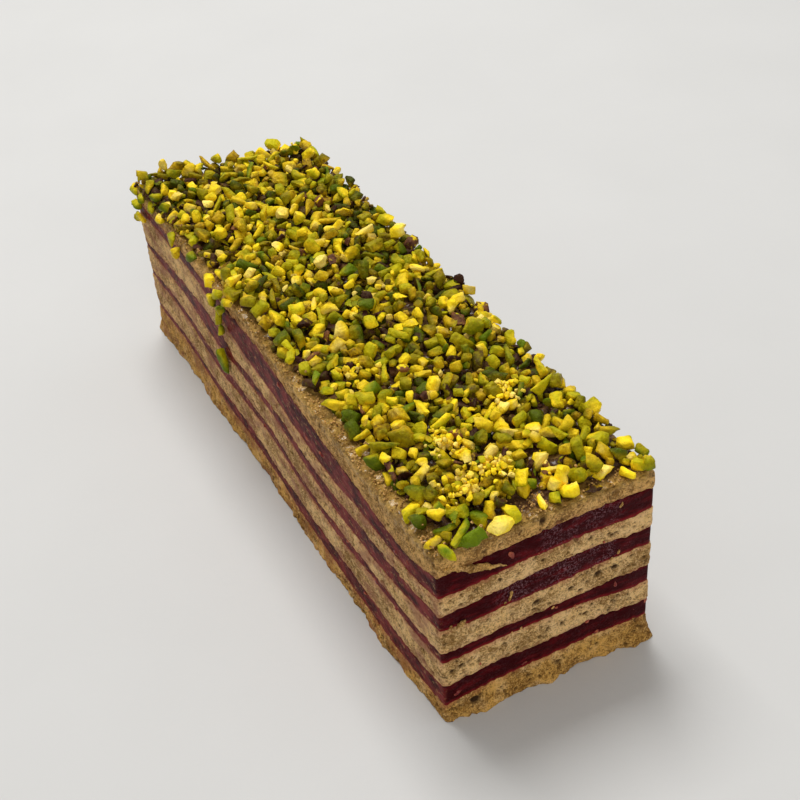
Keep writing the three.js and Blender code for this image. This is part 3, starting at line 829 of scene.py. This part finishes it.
pip = Finish("berry seed")
pip.surface(
    Base_Color=pip.blend(pip.noise(1.2, 2).from_to(0.35, 0.65), SEED_RED, SEED_TAN),
    Roughness=0.35,
    Specular_IOR_Level=0.3,
    Normal=pip.bump(pip.noise(0.6, 2), 0.2),
)
pulp.data.materials.append(pip.material)


# --------------------------------------------------------------------------------------------------
# The chopped pistachios.
# Kernels chopped with a knife: green where they were the outside of the kernel, yellow inside. A few shapes
# are cut from a kernel, and they are dropped on the glaze one by one, each where it finds the lowest rest.

KERNEL = (8.2, 4.9, 4.4)  # half the kernel's length, width and thickness
CUT_TURN = 0.5  # how far the cuts are turned from the kernel's length
CUT_SLANT = 0.3  # how far from square they are
CUT_STRAY = (0.85, 1.2)  # how far out they are, as a share of half the piece's size
WORN = 0.35  # how far the cut edges are worn round
BROKEN = 0.3  # how uneven a piece is, as a share of half its thickness
BROKEN_LUMP = 1.6  # and over what length


def chop(seed, middle, half, facet):
    """A piece of kernel in faces of this size: its corners, its faces and the planes that bound it."""
    draw = np.random.default_rng(seed)
    bpy.ops.object.select_all(action="DESELECT")
    bpy.ops.mesh.primitive_ico_sphere_add(subdivisions=3, radius=1)
    piece = bpy.context.object
    piece.scale = KERNEL
    bpy.ops.object.transform_apply(scale=True)
    turn = Euler(draw.uniform(-CUT_TURN, CUT_TURN, 3)).to_matrix()
    bpy.ops.object.mode_set(mode="EDIT")
    cuts = []
    for axis in range(3):
        for side in (-1, 1):
            facing = Vector(draw.uniform(-CUT_SLANT, CUT_SLANT, 3))
            facing[axis] = side
            facing = (turn @ facing).normalized()
            stroke = Vector(middle) + facing * (half[axis] * draw.uniform(*CUT_STRAY))
            bpy.ops.mesh.select_all(action="SELECT")
            bpy.ops.mesh.bisect(plane_co=stroke, plane_no=facing, use_fill=True, clear_outer=True)
            cuts.append((*facing, facing.dot(stroke)))
    bpy.ops.object.mode_set(mode="OBJECT")
    piece.data.remesh_voxel_size = facet
    piece.data.remesh_voxel_adaptivity = 0
    bpy.ops.object.voxel_remesh()
    bpy.ops.object.mode_set(mode="EDIT")
    bpy.ops.mesh.select_all(action="SELECT")
    bpy.ops.mesh.vertices_smooth(factor=WORN)
    bpy.ops.object.mode_set(mode="OBJECT")
    corners = corners_of(piece.data)
    faces = [tuple(polygon.vertices) for polygon in piece.data.polygons]
    bpy.data.objects.remove(piece, do_unlink=True)
    corners += BROKEN * min(half) * lumps_each_way(corners, BROKEN_LUMP, seed + 900)
    centre = (corners.min(axis=0) + corners.max(axis=0)) / 2
    box = np.vstack([np.eye(3), -np.eye(3)])
    cuts = np.array(cuts + [(*facing, max(corners @ facing)) for facing in box])
    return {
        "faces": faces,
        "corners": corners - centre,
        "kernel": corners / np.array(KERNEL),
        "normals": cuts[:, :3],
        "offsets": cuts[:, 3] - cuts[:, :3] @ centre,
    }


# Where in the kernel the pieces of each kind are cut, and half their size.
CHUNKS = [chop(seed, middle, half, 1.3) for seed, (middle, half) in enumerate([
    ((0, 3.2, 0), (2.3, 1.6, 1.5)), ((3, 2.5, 1), (2.0, 1.5, 1.3)), ((-4, 1.5, 1.5), (2.4, 1.5, 1.6)),
    ((5.5, 0, 1), (1.7, 1.9, 1.3)), ((0, 0, 2.8), (2.2, 1.7, 1.2)), ((1.5, -2.8, 1), (2.7, 1.4, 1.3)),
    ((-2, 0, 0), (2.0, 1.6, 1.5)), ((2, 0.5, -0.5), (1.8, 1.4, 1.3)), ((-6, 0, 0), (1.7, 1.8, 1.6)),
    ((3.5, -1, 2), (2.5, 1.4, 1.1)), ((-1, 2.2, -2), (1.8, 1.6, 1.3)), ((-3.5, -3, -1), (2.3, 1.3, 1.5)),
    ((4, 1.5, -2), (2.0, 1.5, 1.2)), ((0, -1, -3), (2.6, 1.6, 1.0)), ((1, 3.4, 1.5), (2.8, 1.2, 1.3)),
    ((-5, -1.5, 1), (1.6, 1.3, 1.7)),
])]
SLIVERS = [chop(40 + seed, middle, half, 1.0) for seed, (middle, half) in enumerate([
    ((0, 3.9, 0), (3.6, 0.8, 1.4)), ((1, 0, 3.6), (3.9, 1.3, 0.7)), ((-2, 2.5, 1.5), (3.4, 0.8, 1.1)),
    ((2, -3.4, 1), (4.1, 0.9, 1.0)), ((0, 1, 0), (3.3, 0.8, 1.2)), ((-1, -1, -2.8), (3.7, 1.2, 0.8)),
    ((-1, 4.2, 0.5), (4.6, 0.7, 1.8)), ((1, -1, 3.9), (3.0, 1.9, 0.6)),
])]
BITS = [chop(70 + seed, middle, half, 0.85) for seed, (middle, half) in enumerate([
    ((0, 3.5, 0), (1.1, 0.9, 0.8)), ((2, 0, 0), (0.9, 0.8, 0.8)), ((-2, 1, 2.5), (1.2, 0.8, 0.7)),
    ((4, 1, 1), (0.8, 0.9, 0.7)), ((0, 0, 1), (1.3, 0.7, 0.6)),
])]
SKINS = [chop(90 + seed, middle, half, 0.75) for seed, (middle, half) in enumerate([
    ((0, 0.5, 3.9), (2.4, 1.8, 0.5)), ((2, -0.5, 3.6), (2.0, 1.5, 0.5)), ((-3, 0, 3.4), (2.2, 1.3, 0.5)),
])]

# The ground that the pieces fall on: heights on a square grid over the top.
CELL = 0.3
GROUND_LOW = np.array([-38.0, -110.0])
GROUND_STEPS = (254, 734)
ground_lines = [low + CELL * np.arange(steps) for low, steps in zip(GROUND_LOW, GROUND_STEPS)]
gx, gy = np.meshgrid(*ground_lines, indexing="ij")


def across_and_along(x, y):
    """The u and v of a place in plan."""
    x, y = x - middle_of_cut.x, y - middle_of_cut.y
    u = x / WIDTH + 0.5
    for _ in range(3):
        v = (y + LENGTH / 2 + NEAR_END_SKEW * u) / (LENGTH + (NEAR_END_SKEW - FAR_END_SKEW) * u)
        belly = SIDE_BELLY * np.sin(np.pi * np.clip(v * 2, 0, 1)) * (1 - u)
        u = (x + belly + WIDTH / 2) / (WIDTH - FAR_END_TAPER * v)
    return u, v


ground_u, ground_v = across_and_along(gx, gy)
on_cake = (ground_u > 0) & (ground_u < 1) & (ground_v > 0) & (ground_v < 1)
ground = np.where(on_cake, top_height(ground_u, ground_v) + crust_relief(np.stack([gx, gy], axis=-1)), 0)

# Pieces low in the heap are darker and greener: partly the glaze they soak, partly painted shade in the
# gaps.
GLAZE_AND_SHADE_HEIGHT = 60  # the glaze and the painted shade deep in the heap darken most the pieces whose middle lies as low as this
SOAKED_SHADE_HEIGHT = 2.6  # and none that lie this much higher
SOAKED_AND_SHADE = 0.42  # by how much
SOAKED_SHADE_GREEN = 0.5  # and how much greener it makes them, as a share of that
DRAWN_OUT = (0.86, 1.16)  # how much shorter or longer a piece is each way than its shape
LAID_LEAN = (0.15, 0.1)  # how far a laid piece leans to its side and end
STEEP = 0.05  # a plane that looks up or down less than this is a side
SEAT = 80  # a piece sinks until this share of its underside, in percent, is clear of what lies below
SMOOTH_ANGLE = math.radians(75)


class Heap:
    """Pieces of one kind that have come to rest, gathered into one mesh."""

    def __init__(self, name, shapes, lean):
        self.name = name
        self.shapes = shapes
        self.lean = lean  # how far a piece leans when it lies loose
        self.pieces = []

    def drop(self, places, size, marks):
        """Lets a piece fall at whichever of the places it comes to rest lowest."""
        shape = self.shapes[draw.integers(len(self.shapes))]
        turn = Euler((draw.normal(0, self.lean), draw.normal(0, self.lean), draw.uniform(0, 2 * math.pi)))
        matrix = np.array(turn.to_matrix()) * (size * draw.uniform(*DRAWN_OUT, 3))
        self.rest(shape, matrix, places, marks, SOAKED_AND_SHADE)

    def lay(self, place, length, width, heading, marks, shape=0):
        """Lays a piece of this length and width down at a place."""
        shape = self.shapes[shape]
        extent = np.ptp(shape["corners"], axis=0)
        turn = Euler((*draw.normal(0, LAID_LEAN), math.radians(heading)))
        matrix = np.array(turn.to_matrix()) * (length / extent[0], width / extent[1], width / extent[1])
        self.rest(shape, matrix, [place], marks)

    def rest(self, shape, matrix, places, marks, soaked_and_shade=0):
        """Finds the height at which a piece lies on what is below it, at the lowest of the places."""
        normals = shape["normals"] @ np.linalg.inv(matrix)
        length = np.linalg.norm(normals, axis=1)
        normals, offsets = normals / length[:, None], shape["offsets"] / length
        reach = int(np.linalg.norm(shape["corners"] @ matrix.T, axis=1).max() / CELL) + 1
        span = CELL * np.arange(-reach, reach + 1)
        x, y = np.meshgrid(span, span, indexing="ij")
        left = offsets[:, None, None] - normals[:, 0, None, None] * x - normals[:, 1, None, None] * y
        up, down = normals[:, 2] > STEEP, normals[:, 2] < -STEEP
        upper = (left[up] / normals[up, 2, None, None]).min(axis=0)
        under = (left[down] / normals[down, 2, None, None]).max(axis=0)
        covered = (under < upper) & (left[~up & ~down] > 0).all(axis=0)
        if not covered.any():
            return
        found = None
        for x, y in places:
            i, j = np.rint((np.array([x, y]) - GROUND_LOW) / CELL).astype(int)
            below = ground[i - reach:i + reach + 1, j - reach:j + reach + 1]
            carried = covered & (below > 0)
            if not carried.any():
                continue
            height = np.percentile((below - under)[carried], SEAT)
            if found is None or height < found[0]:
                found = (height, x, y, below)
        if found is None:
            return
        height, x, y, below = found
        below[covered] = np.maximum(below, upper + height)[covered]
        ripe, shade, skin = marks
        # Low pieces are darkened: partly soaked glaze, partly painted shade deep in the heap.
        sunk_and_shaded = soaked_and_shade * (1 - min(max((height - GLAZE_AND_SHADE_HEIGHT) / SOAKED_SHADE_HEIGHT, 0), 1))
        marks = (ripe + SOAKED_SHADE_GREEN * sunk_and_shaded, shade - sunk_and_shaded, skin)
        self.pieces.append((shape, matrix, (x, y, height), marks))

    def stick(self, place, size, tilt, marks, shape):
        """Stands a piece of this thickness, length and height up at a place."""
        shape = self.shapes[shape]
        upright = Matrix.Rotation(tilt, 3, "X") @ Matrix(((0, 0, -1), (1, 0, 0), (0, -1, 0)))
        extent = np.abs(np.array(upright)) @ np.ptp(shape["corners"], axis=0)
        matrix = (np.array(size) / extent)[:, None] * np.array(upright)
        self.pieces.append((shape, matrix, place, marks))

    def finish(self, material, slot):
        """Makes the mesh, whose corners know where in the kernel they were."""
        start = np.cumsum([0] + [len(shape["corners"]) for shape, *_ in self.pieces])
        corners = [shape["corners"] @ matrix.T + place for shape, matrix, place, _ in self.pieces]
        faces = [
            [corner + first for corner in face]
            for first, (shape, *_) in zip(start, self.pieces)
            for face in shape["faces"]
        ]
        mesh = bpy.data.meshes.new(self.name)
        mesh.from_pydata(np.concatenate(corners) * MM, [], faces)
        kernel = np.concatenate([shape["kernel"] for shape, *_ in self.pieces]).astype(np.float32)
        mesh.attributes.new("kernel", "FLOAT_VECTOR", "POINT").data.foreach_set("vector", kernel.ravel())
        for index, name in enumerate(("ripe", "shade", "skin")):
            values = [np.full(len(shape["corners"]), marks[index]) for shape, _, _, marks in self.pieces]
            give(mesh, name, np.concatenate(values))
        mesh.materials.append(material)
        piece = bpy.data.objects.new(self.name, mesh)
        bpy.context.collection.objects.link(piece)
        bpy.ops.object.select_all(action="DESELECT")
        piece.select_set(True)
        bpy.context.view_layer.objects.active = piece
        bpy.ops.object.shade_smooth_by_angle(angle=SMOOTH_ANGLE)
        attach(piece, "root")
        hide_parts("sponge_top_pistachios")


NUT_PALE = (1.0, 0.76, 0.16, 1)
NUT_YELLOW = (1.0, 0.70, 0.014, 1)
NUT_LIME = (0.50, 0.43, 0.004, 1)
NUT_GREEN = (0.12, 0.18, 0.002, 1)
NUT_SKIN = (0.055, 0.010, 0.014, 1)
NUT_HUSK = (0.20, 0.075, 0.025, 1)
NUT_SOAKED_AND_SHADED = (1, 0.84, 0.6, 1)  # what the glaze and the painted shade in the gaps leave of the colour of a dark piece

nut = Finish("pistachio kernel")
inner = nut.node("ShaderNodeAttribute", {"attribute_name": "kernel"}, result="Vector")
from_middle = nut.node("ShaderNodeVectorMath", {"operation": "LENGTH"}, {0: inner}, result="Value")
ripe = from_middle * 0.7 + nut.mark("ripe") * 0.75 + (nut.noise(1.6, 2) - 0.5) * 0.3
colour = nut.blend(ripe.from_to(0.2, 0.62), NUT_PALE, NUT_YELLOW)
colour = nut.blend(ripe.from_to(0.68, 0.95), colour, NUT_LIME)
colour = nut.blend(ripe.from_to(1.0, 1.3), colour, NUT_GREEN)
skin = nut.mark("skin") * nut.noise(2.2, 2).from_to(0.36, 0.46)
dry = (nut.mark("shade") + nut.noise(1.4, 2) - 0.5).from_to(0.45, 0.95)
colour = nut.blend(skin, colour, nut.blend(dry, NUT_SKIN, NUT_HUSK))
grain = nut.noise(1.3, 3, 0.6)
shade = (0.38 + nut.mark("shade") * 0.78 + (grain - 0.5) * 0.85).at_least(0.1)
# Darker pieces turn browner, the darkest towards the colour of skin: partly their tone and glaze, partly
# painted shade in the gaps.
colour = nut.tint(shade.from_to(0.85, 0.3), colour, NUT_SOAKED_AND_SHADED)
colour = nut.node("ShaderNodeVectorMath", {"operation": "SCALE"}, {0: colour, "Scale": shade})
colour = nut.blend(shade.from_to(0.42, 0.16) * 0.75, colour, NUT_SKIN)
nut.surface(
    Base_Color=colour,
    Roughness=0.36 + nut.noise(1.5, 2) * 0.3,
    Specular_IOR_Level=0.26,
    Specular_Tint=(1, 0.86, 0.35, 1),
    Subsurface_Weight=0.12,
    Subsurface_Radius=(1.0, 0.7, 0.1),
    Subsurface_Scale=0.6 * MM,
    Normal=nut.bump(grain, 0.75),
)

draw = np.random.default_rng(2024)
chunks = Heap("pistachio_chunks", CHUNKS, 0.5)
slivers = Heap("pistachio_slivers", SLIVERS, 0.22)
bits = Heap("pistachio_bits", BITS, 0.9)
skins = Heap("pistachio_skins", SKINS, 0.45)

TRIES = 6  # places from which a piece takes the lowest
LAID_CLEAR = 2.5  # they are at least this far from the middles of the laid pieces
EDGE_CLEAR = 0.2  # and this far from the right and the far edge
LEFT_STRAY = 0.5  # how far the nuts stray over their margin on the left
NEAR_STRAY = 0.8  # and at the near end
RIPE = 0.46  # how ripe most kernels are
RIPE_SPREAD = 0.3  # and how far the others differ
RIPE_DARK = 0.5  # how much riper the darker pieces are


def random_places():
    """A few places on top where nuts lie."""
    places = []
    while len(places) < TRIES:
        u, v = draw.random(2)
        left = margin(v, LEFT_MARGIN) + draw.normal(0, LEFT_STRAY)
        near = margin(u, NEAR_MARGIN) + draw.normal(0, NEAR_STRAY)
        place = plan(u, v)
        clear = np.linalg.norm(laid_places - place, axis=1).min() > LAID_CLEAR
        off_edges = u * WIDTH > left and v * LENGTH > near
        off_edges = off_edges and (1 - u) * WIDTH > EDGE_CLEAR and (1 - v) * LENGTH > EDGE_CLEAR
        if clear and off_edges:
            places.append(place)
    return places


def random_marks(peeled):
    """How green, how bright and how much in its skin a piece is; the green ones are the darker ones."""
    ripe = draw.normal(RIPE, RIPE_SPREAD)
    shade = draw.random()
    ripe = np.clip(ripe + RIPE_DARK * (0.5 - shade), -0.2, 1.05)
    return ripe, shade, draw.random() < peeled


# The pieces that show most, near the near end: the kind, how far from the left side and from the near end,
# the length, width and heading, and how ripe and bright.
LAID = [
    ("sliver", 10, -0.2, 7.7, 3.3, 141, 1.1, 0.95), ("chunk", 2.9, -0.7, 6.4, 2.8, 102, 0.7, 1.0),
    ("chunk", 2.2, 4.2, 5.2, 2.3, 1, 0.0, 0.5), ("sliver", 8.2, 1.9, 9.8, 2.8, 41, 0.75, 0.7),
    ("chunk", 6.3, 6.1, 6.1, 3.3, 172, 0.8, 0.5), ("chunk", 2.3, 11.1, 3.8, 3.3, 6, 1.0, 0.3),
    ("chunk", 2.8, 16.1, 7.2, 3.4, 22, 0.6, 0.9), ("chunk", 18, 0.3, 6.9, 4.2, 8, 0.2, 1.0),
    ("chunk", 22.6, 2.2, 5.9, 3.3, 93, 0.4, 0.9), ("chunk", 14.8, 4.7, 5.4, 3.7, 111, 0.8, 0.7),
    ("chunk", 30.8, 2.1, 5.3, 2.1, 77, 0.1, 1.0), ("chunk", 33.7, 0.9, 3.2, 3.0, 142, 0.7, 0.8),
    ("chunk", 38.1, 0.9, 5.2, 4.0, 170, 0.2, 1.0), ("chunk", 48.9, 2.9, 6.0, 3.7, 178, 0.0, 1.0),
    ("chunk", 53.4, -1.0, 4.5, 2.1, 121, 0.0, 1.0), ("chunk", 57, -0.4, 3.9, 2.8, 152, 0.4, 0.9),
    ("chunk", 58, -2.6, 3.4, 4.0, 160, 0.6, 0.5), ("chunk", 42.3, 4.2, 5.3, 4.2, 140, 0.5, 0.5),
    ("chunk", 32, 8.6, 3.0, 2.8, 148, 0.8, 0.9), ("chunk", 30.5, 12.5, 5.1, 3.3, 151, 0.3, 0.8),
    ("sliver", 26.9, 17.3, 8.0, 2.3, 103, 0.6, 0.8), ("sliver", 36.1, 22.7, 9.3, 3.7, 134, 0.5, 0.7),
    ("sliver", 42.8, 17.6, 6.3, 3.3, 167, 0.5, 0.9), ("sliver", 40.5, 10.5, 6.6, 2.3, 179, 0.4, 0.9),
    ("chunk", 54.1, 12.8, 5.4, 4.6, 115, 0.5, 0.7), ("chunk", 23.1, 26.8, 5.3, 3.7, 163, 0.2, 0.9),
    ("chunk", 11.3, 10.3, 5.0, 4.2, 144, 0.7, 0.6), ("chunk", 58.6, 7.7, 4.7, 3.7, 147, 0.3, 0.9),
]
laid_places = np.array([
    plan(aside / WIDTH, (back + NEAR_END_SKEW * aside / WIDTH) / LENGTH) for _, aside, back, *_ in LAID
])
for index, (kind, aside, back, length, width, heading, ripe, shade) in enumerate(LAID):
    heap = chunks if kind == "chunk" else slivers
    place = laid_places[index]
    heap.lay(place, length, width, heading, (ripe, shade, 0), index % len(heap.shapes))

# Then the others fall in any order. For each kind: how many there are, its least and its greatest size, how
# strongly the small ones prevail, and the share that is still in its skin.
STREWN = [
    (chunks, 1200, 0.52, 1.0, 1.6, 0.04),
    (slivers, 330, 0.5, 0.9, 1, 0.05),
    (bits, 560, 0.35, 1.1, 1, 0.03),
    (skins, 190, 0.5, 0.85, 1, 0.75),
]
kinds = np.repeat(range(len(STREWN)), [count for _, count, *_ in STREWN])
for kind in draw.permutation(kinds):
    heap, _, least, greatest, prevail, peeled = STREWN[kind]
    places = random_places()
    size = least + (greatest - least) * draw.random() ** prevail
    heap.drop(places, size, random_marks(peeled))

# Finer bits that cling together in lumps: how far from the left side and from the near end, and how many.
LUMPS = [(15.5, 14.5, 45), (25, 16.5, 75), (21, 33, 35), (45, 42, 25), (16, 70, 22)]
LUMP_SPREAD = 2.1
LUMP_TRIES = 4
for aside, back, count in LUMPS:
    for _ in range(count):
        spread = draw.normal(0, LUMP_SPREAD, (LUMP_TRIES, 2)) + (aside, back)
        places = plan(spread[:, 0] / WIDTH, spread[:, 1] / LENGTH)
        bits.drop(places, draw.uniform(0.35, 0.8), (draw.uniform(-0.2, 0.55), draw.uniform(0.5, 1.05), 0))

# The pieces that slid over the left edge and stick to its cut: how far from the near end, how high and how
# far out, the thickness, length and height, and how they tilt.
SLID = [
    (199, 58.5, 0.3, (3.2, 6, 4.4), 0.2), (192.5, 58, 0.5, (3.4, 5, 4.6), -0.4),
    (195.5, 54.6, 1.6, (3, 5, 4.6), 0.5), (193, 51.4, 1.8, (2.8, 4.2, 4.4), 0.0),
    (197.5, 48.6, 1.6, (2.6, 3.6, 3.6), 0.3), (164.5, 58, 0.6, (3.2, 5, 4), 0.3),
    (161, 54.8, 1.6, (2.8, 4, 4.8), -0.2), (135.5, 58.5, 0.4, (3.4, 5, 4.6), 0.1),
    (129, 58.2, 0.5, (3.4, 5.4, 4.2), 0.4), (122, 58.6, 0.4, (3.4, 5, 4), -0.3),
    (132, 54.6, 1.7, (3, 4.6, 5.4), 0.15), (126, 54.4, 1.5, (2.8, 4, 4.4), -0.3),
    (128, 50.6, 1.9, (2.8, 3.4, 6.4), 0.2), (127.5, 46, 1.8, (2.6, 3, 5), 0.05),
    (131, 31.6, 1.7, (3, 4.4, 9.5), 0.12), (150, 59, 0.2, (3, 4.5, 3.6), 0.5),
    (176, 59, 0.3, (3.2, 4.8, 3.6), -0.2), (184, 58.8, 0.3, (3, 5, 4), 0.3),
]
for index, (back, height, out, size, tilt) in enumerate(SLID):
    x, y = plan(0, back / LENGTH)
    marks = (draw.uniform(0.3, 0.9), draw.uniform(0.4, 0.9), 0)
    chunks.stick((x - out, y, height), size, tilt, marks, index % len(CHUNKS))

# One shard of kernel stands up at the far right corner.
slivers.stick((*plan(0.99, 0.985), 62.5), (4.4, 2.2, 8.6), 0.2, (0.55, 0.75, 0), 6)

# A flake of dark skin lies by itself on the glaze near the right corner.
skins.lay(plan(43.6 / WIDTH, 1.4 / LENGTH), 4.4, 3.6, 20, (0, 0, 1))

for heap in (chunks, slivers, bits, skins):
    heap.finish(nut.material, "pistachio")

# Crumbs of the crust that lie on its bare margins, most of them on the left.
MARGIN_TRIES = 1500
ON_THE_LEFT = 0.7  # the share on the left
LEFT_STRIP = (0.2, 6)  # from and to how far from the left edge they lie
NEAR_STRIP = (0.2, 10)  # and from the near edge
BARE = 1.0  # a crumb falls only where the ground is less than this above the crust
bare_height = top_height(ground_u, ground_v) + BARE
margin_crumbs = Heap("margin_crumbs", BITS, 0.9)
for _ in range(MARGIN_TRIES):
    if draw.random() < ON_THE_LEFT:
        place = plan(draw.uniform(*LEFT_STRIP) / WIDTH, draw.random())
    else:
        place = plan(draw.random(), draw.uniform(*NEAR_STRIP) / LENGTH)
    i, j = np.rint((place - GROUND_LOW) / CELL).astype(int)
    if 0 < ground[i, j] < bare_height[i, j]:
        margin_crumbs.drop([place], draw.uniform(0.12, 0.34), (0, 0, 0))
margin_crumbs.finish(glaze.material, "sponge")


# --------------------------------------------------------------------------------------------------
# The studio.
# A floor of pale paper, a wide soft light from behind and a weak one in front, and the camera, which looks
# down on the near left corner.

bpy.ops.object.select_all(action="DESELECT")
bpy.ops.mesh.primitive_plane_add(size=6)
floor = bpy.context.object
floor.name = "floor"

PAPER_GREY = (0.58, 0.575, 0.56, 1)
PAPER_PALE = (0.62, 0.615, 0.60, 1)

paper = Finish("pale paper")
paper.surface(
    Base_Color=paper.blend(paper.noise(60, 3), PAPER_GREY, PAPER_PALE),
    Roughness=0.7,
    Specular_IOR_Level=0.2,
    Normal=paper.bump(paper.noise(3, 3), 0.05),
)
floor.data.materials.append(paper.material)

world = bpy.data.worlds.new("studio")
world.use_nodes = True
sky = world.node_tree.nodes["Background"]
sky.inputs["Color"].default_value = (1.0, 0.99, 0.97, 1)
sky.inputs["Strength"].default_value = 0.43
bpy.context.scene.world = world

# Each light: its name, its place and width in metres, and its power.
LIGHTS = [
    ("window", (0.05, 0.5, 1.2), 0.6, 13.5),
    ("fill", (-0.2, -1.3, 0.8), 1.0, 5),
]
for name, place, width, power in LIGHTS:
    lamp = bpy.data.lights.new(name, "AREA")
    lamp.size = width
    lamp.energy = power
    light = bpy.data.objects.new(name, lamp)
    light.location = place
    light.rotation_euler = (-Vector(place)).to_track_quat("-Z", "Y").to_euler()
    bpy.context.collection.objects.link(light)

# The camera: where it is from the middle of the cut, and which way its right and its down point.
CAMERA_PLACE = (-134.8, -310.2, 302.2)
CAMERA_RIGHT = (0.87741, -0.47524, -0.06557)
CAMERA_DOWN = (-0.34859, -0.53767, -0.76772)
LENS = 65.26
lens = bpy.data.cameras.new("camera")
lens.lens = LENS
camera = bpy.data.objects.new("camera", lens)
right = Vector(CAMERA_RIGHT).normalized()
back = right.cross(-Vector(CAMERA_DOWN)).normalized()
up = back.cross(right)
place = (Vector(CAMERA_PLACE) + Vector((*middle_of_cut, 0))) * MM
camera.matrix_world = Matrix.Translation(place) @ Matrix((right, up, back)).transposed().to_4x4()
bpy.context.collection.objects.link(camera)
bpy.context.scene.camera = camera
bpy.context.scene.view_settings.view_transform = "Standard"
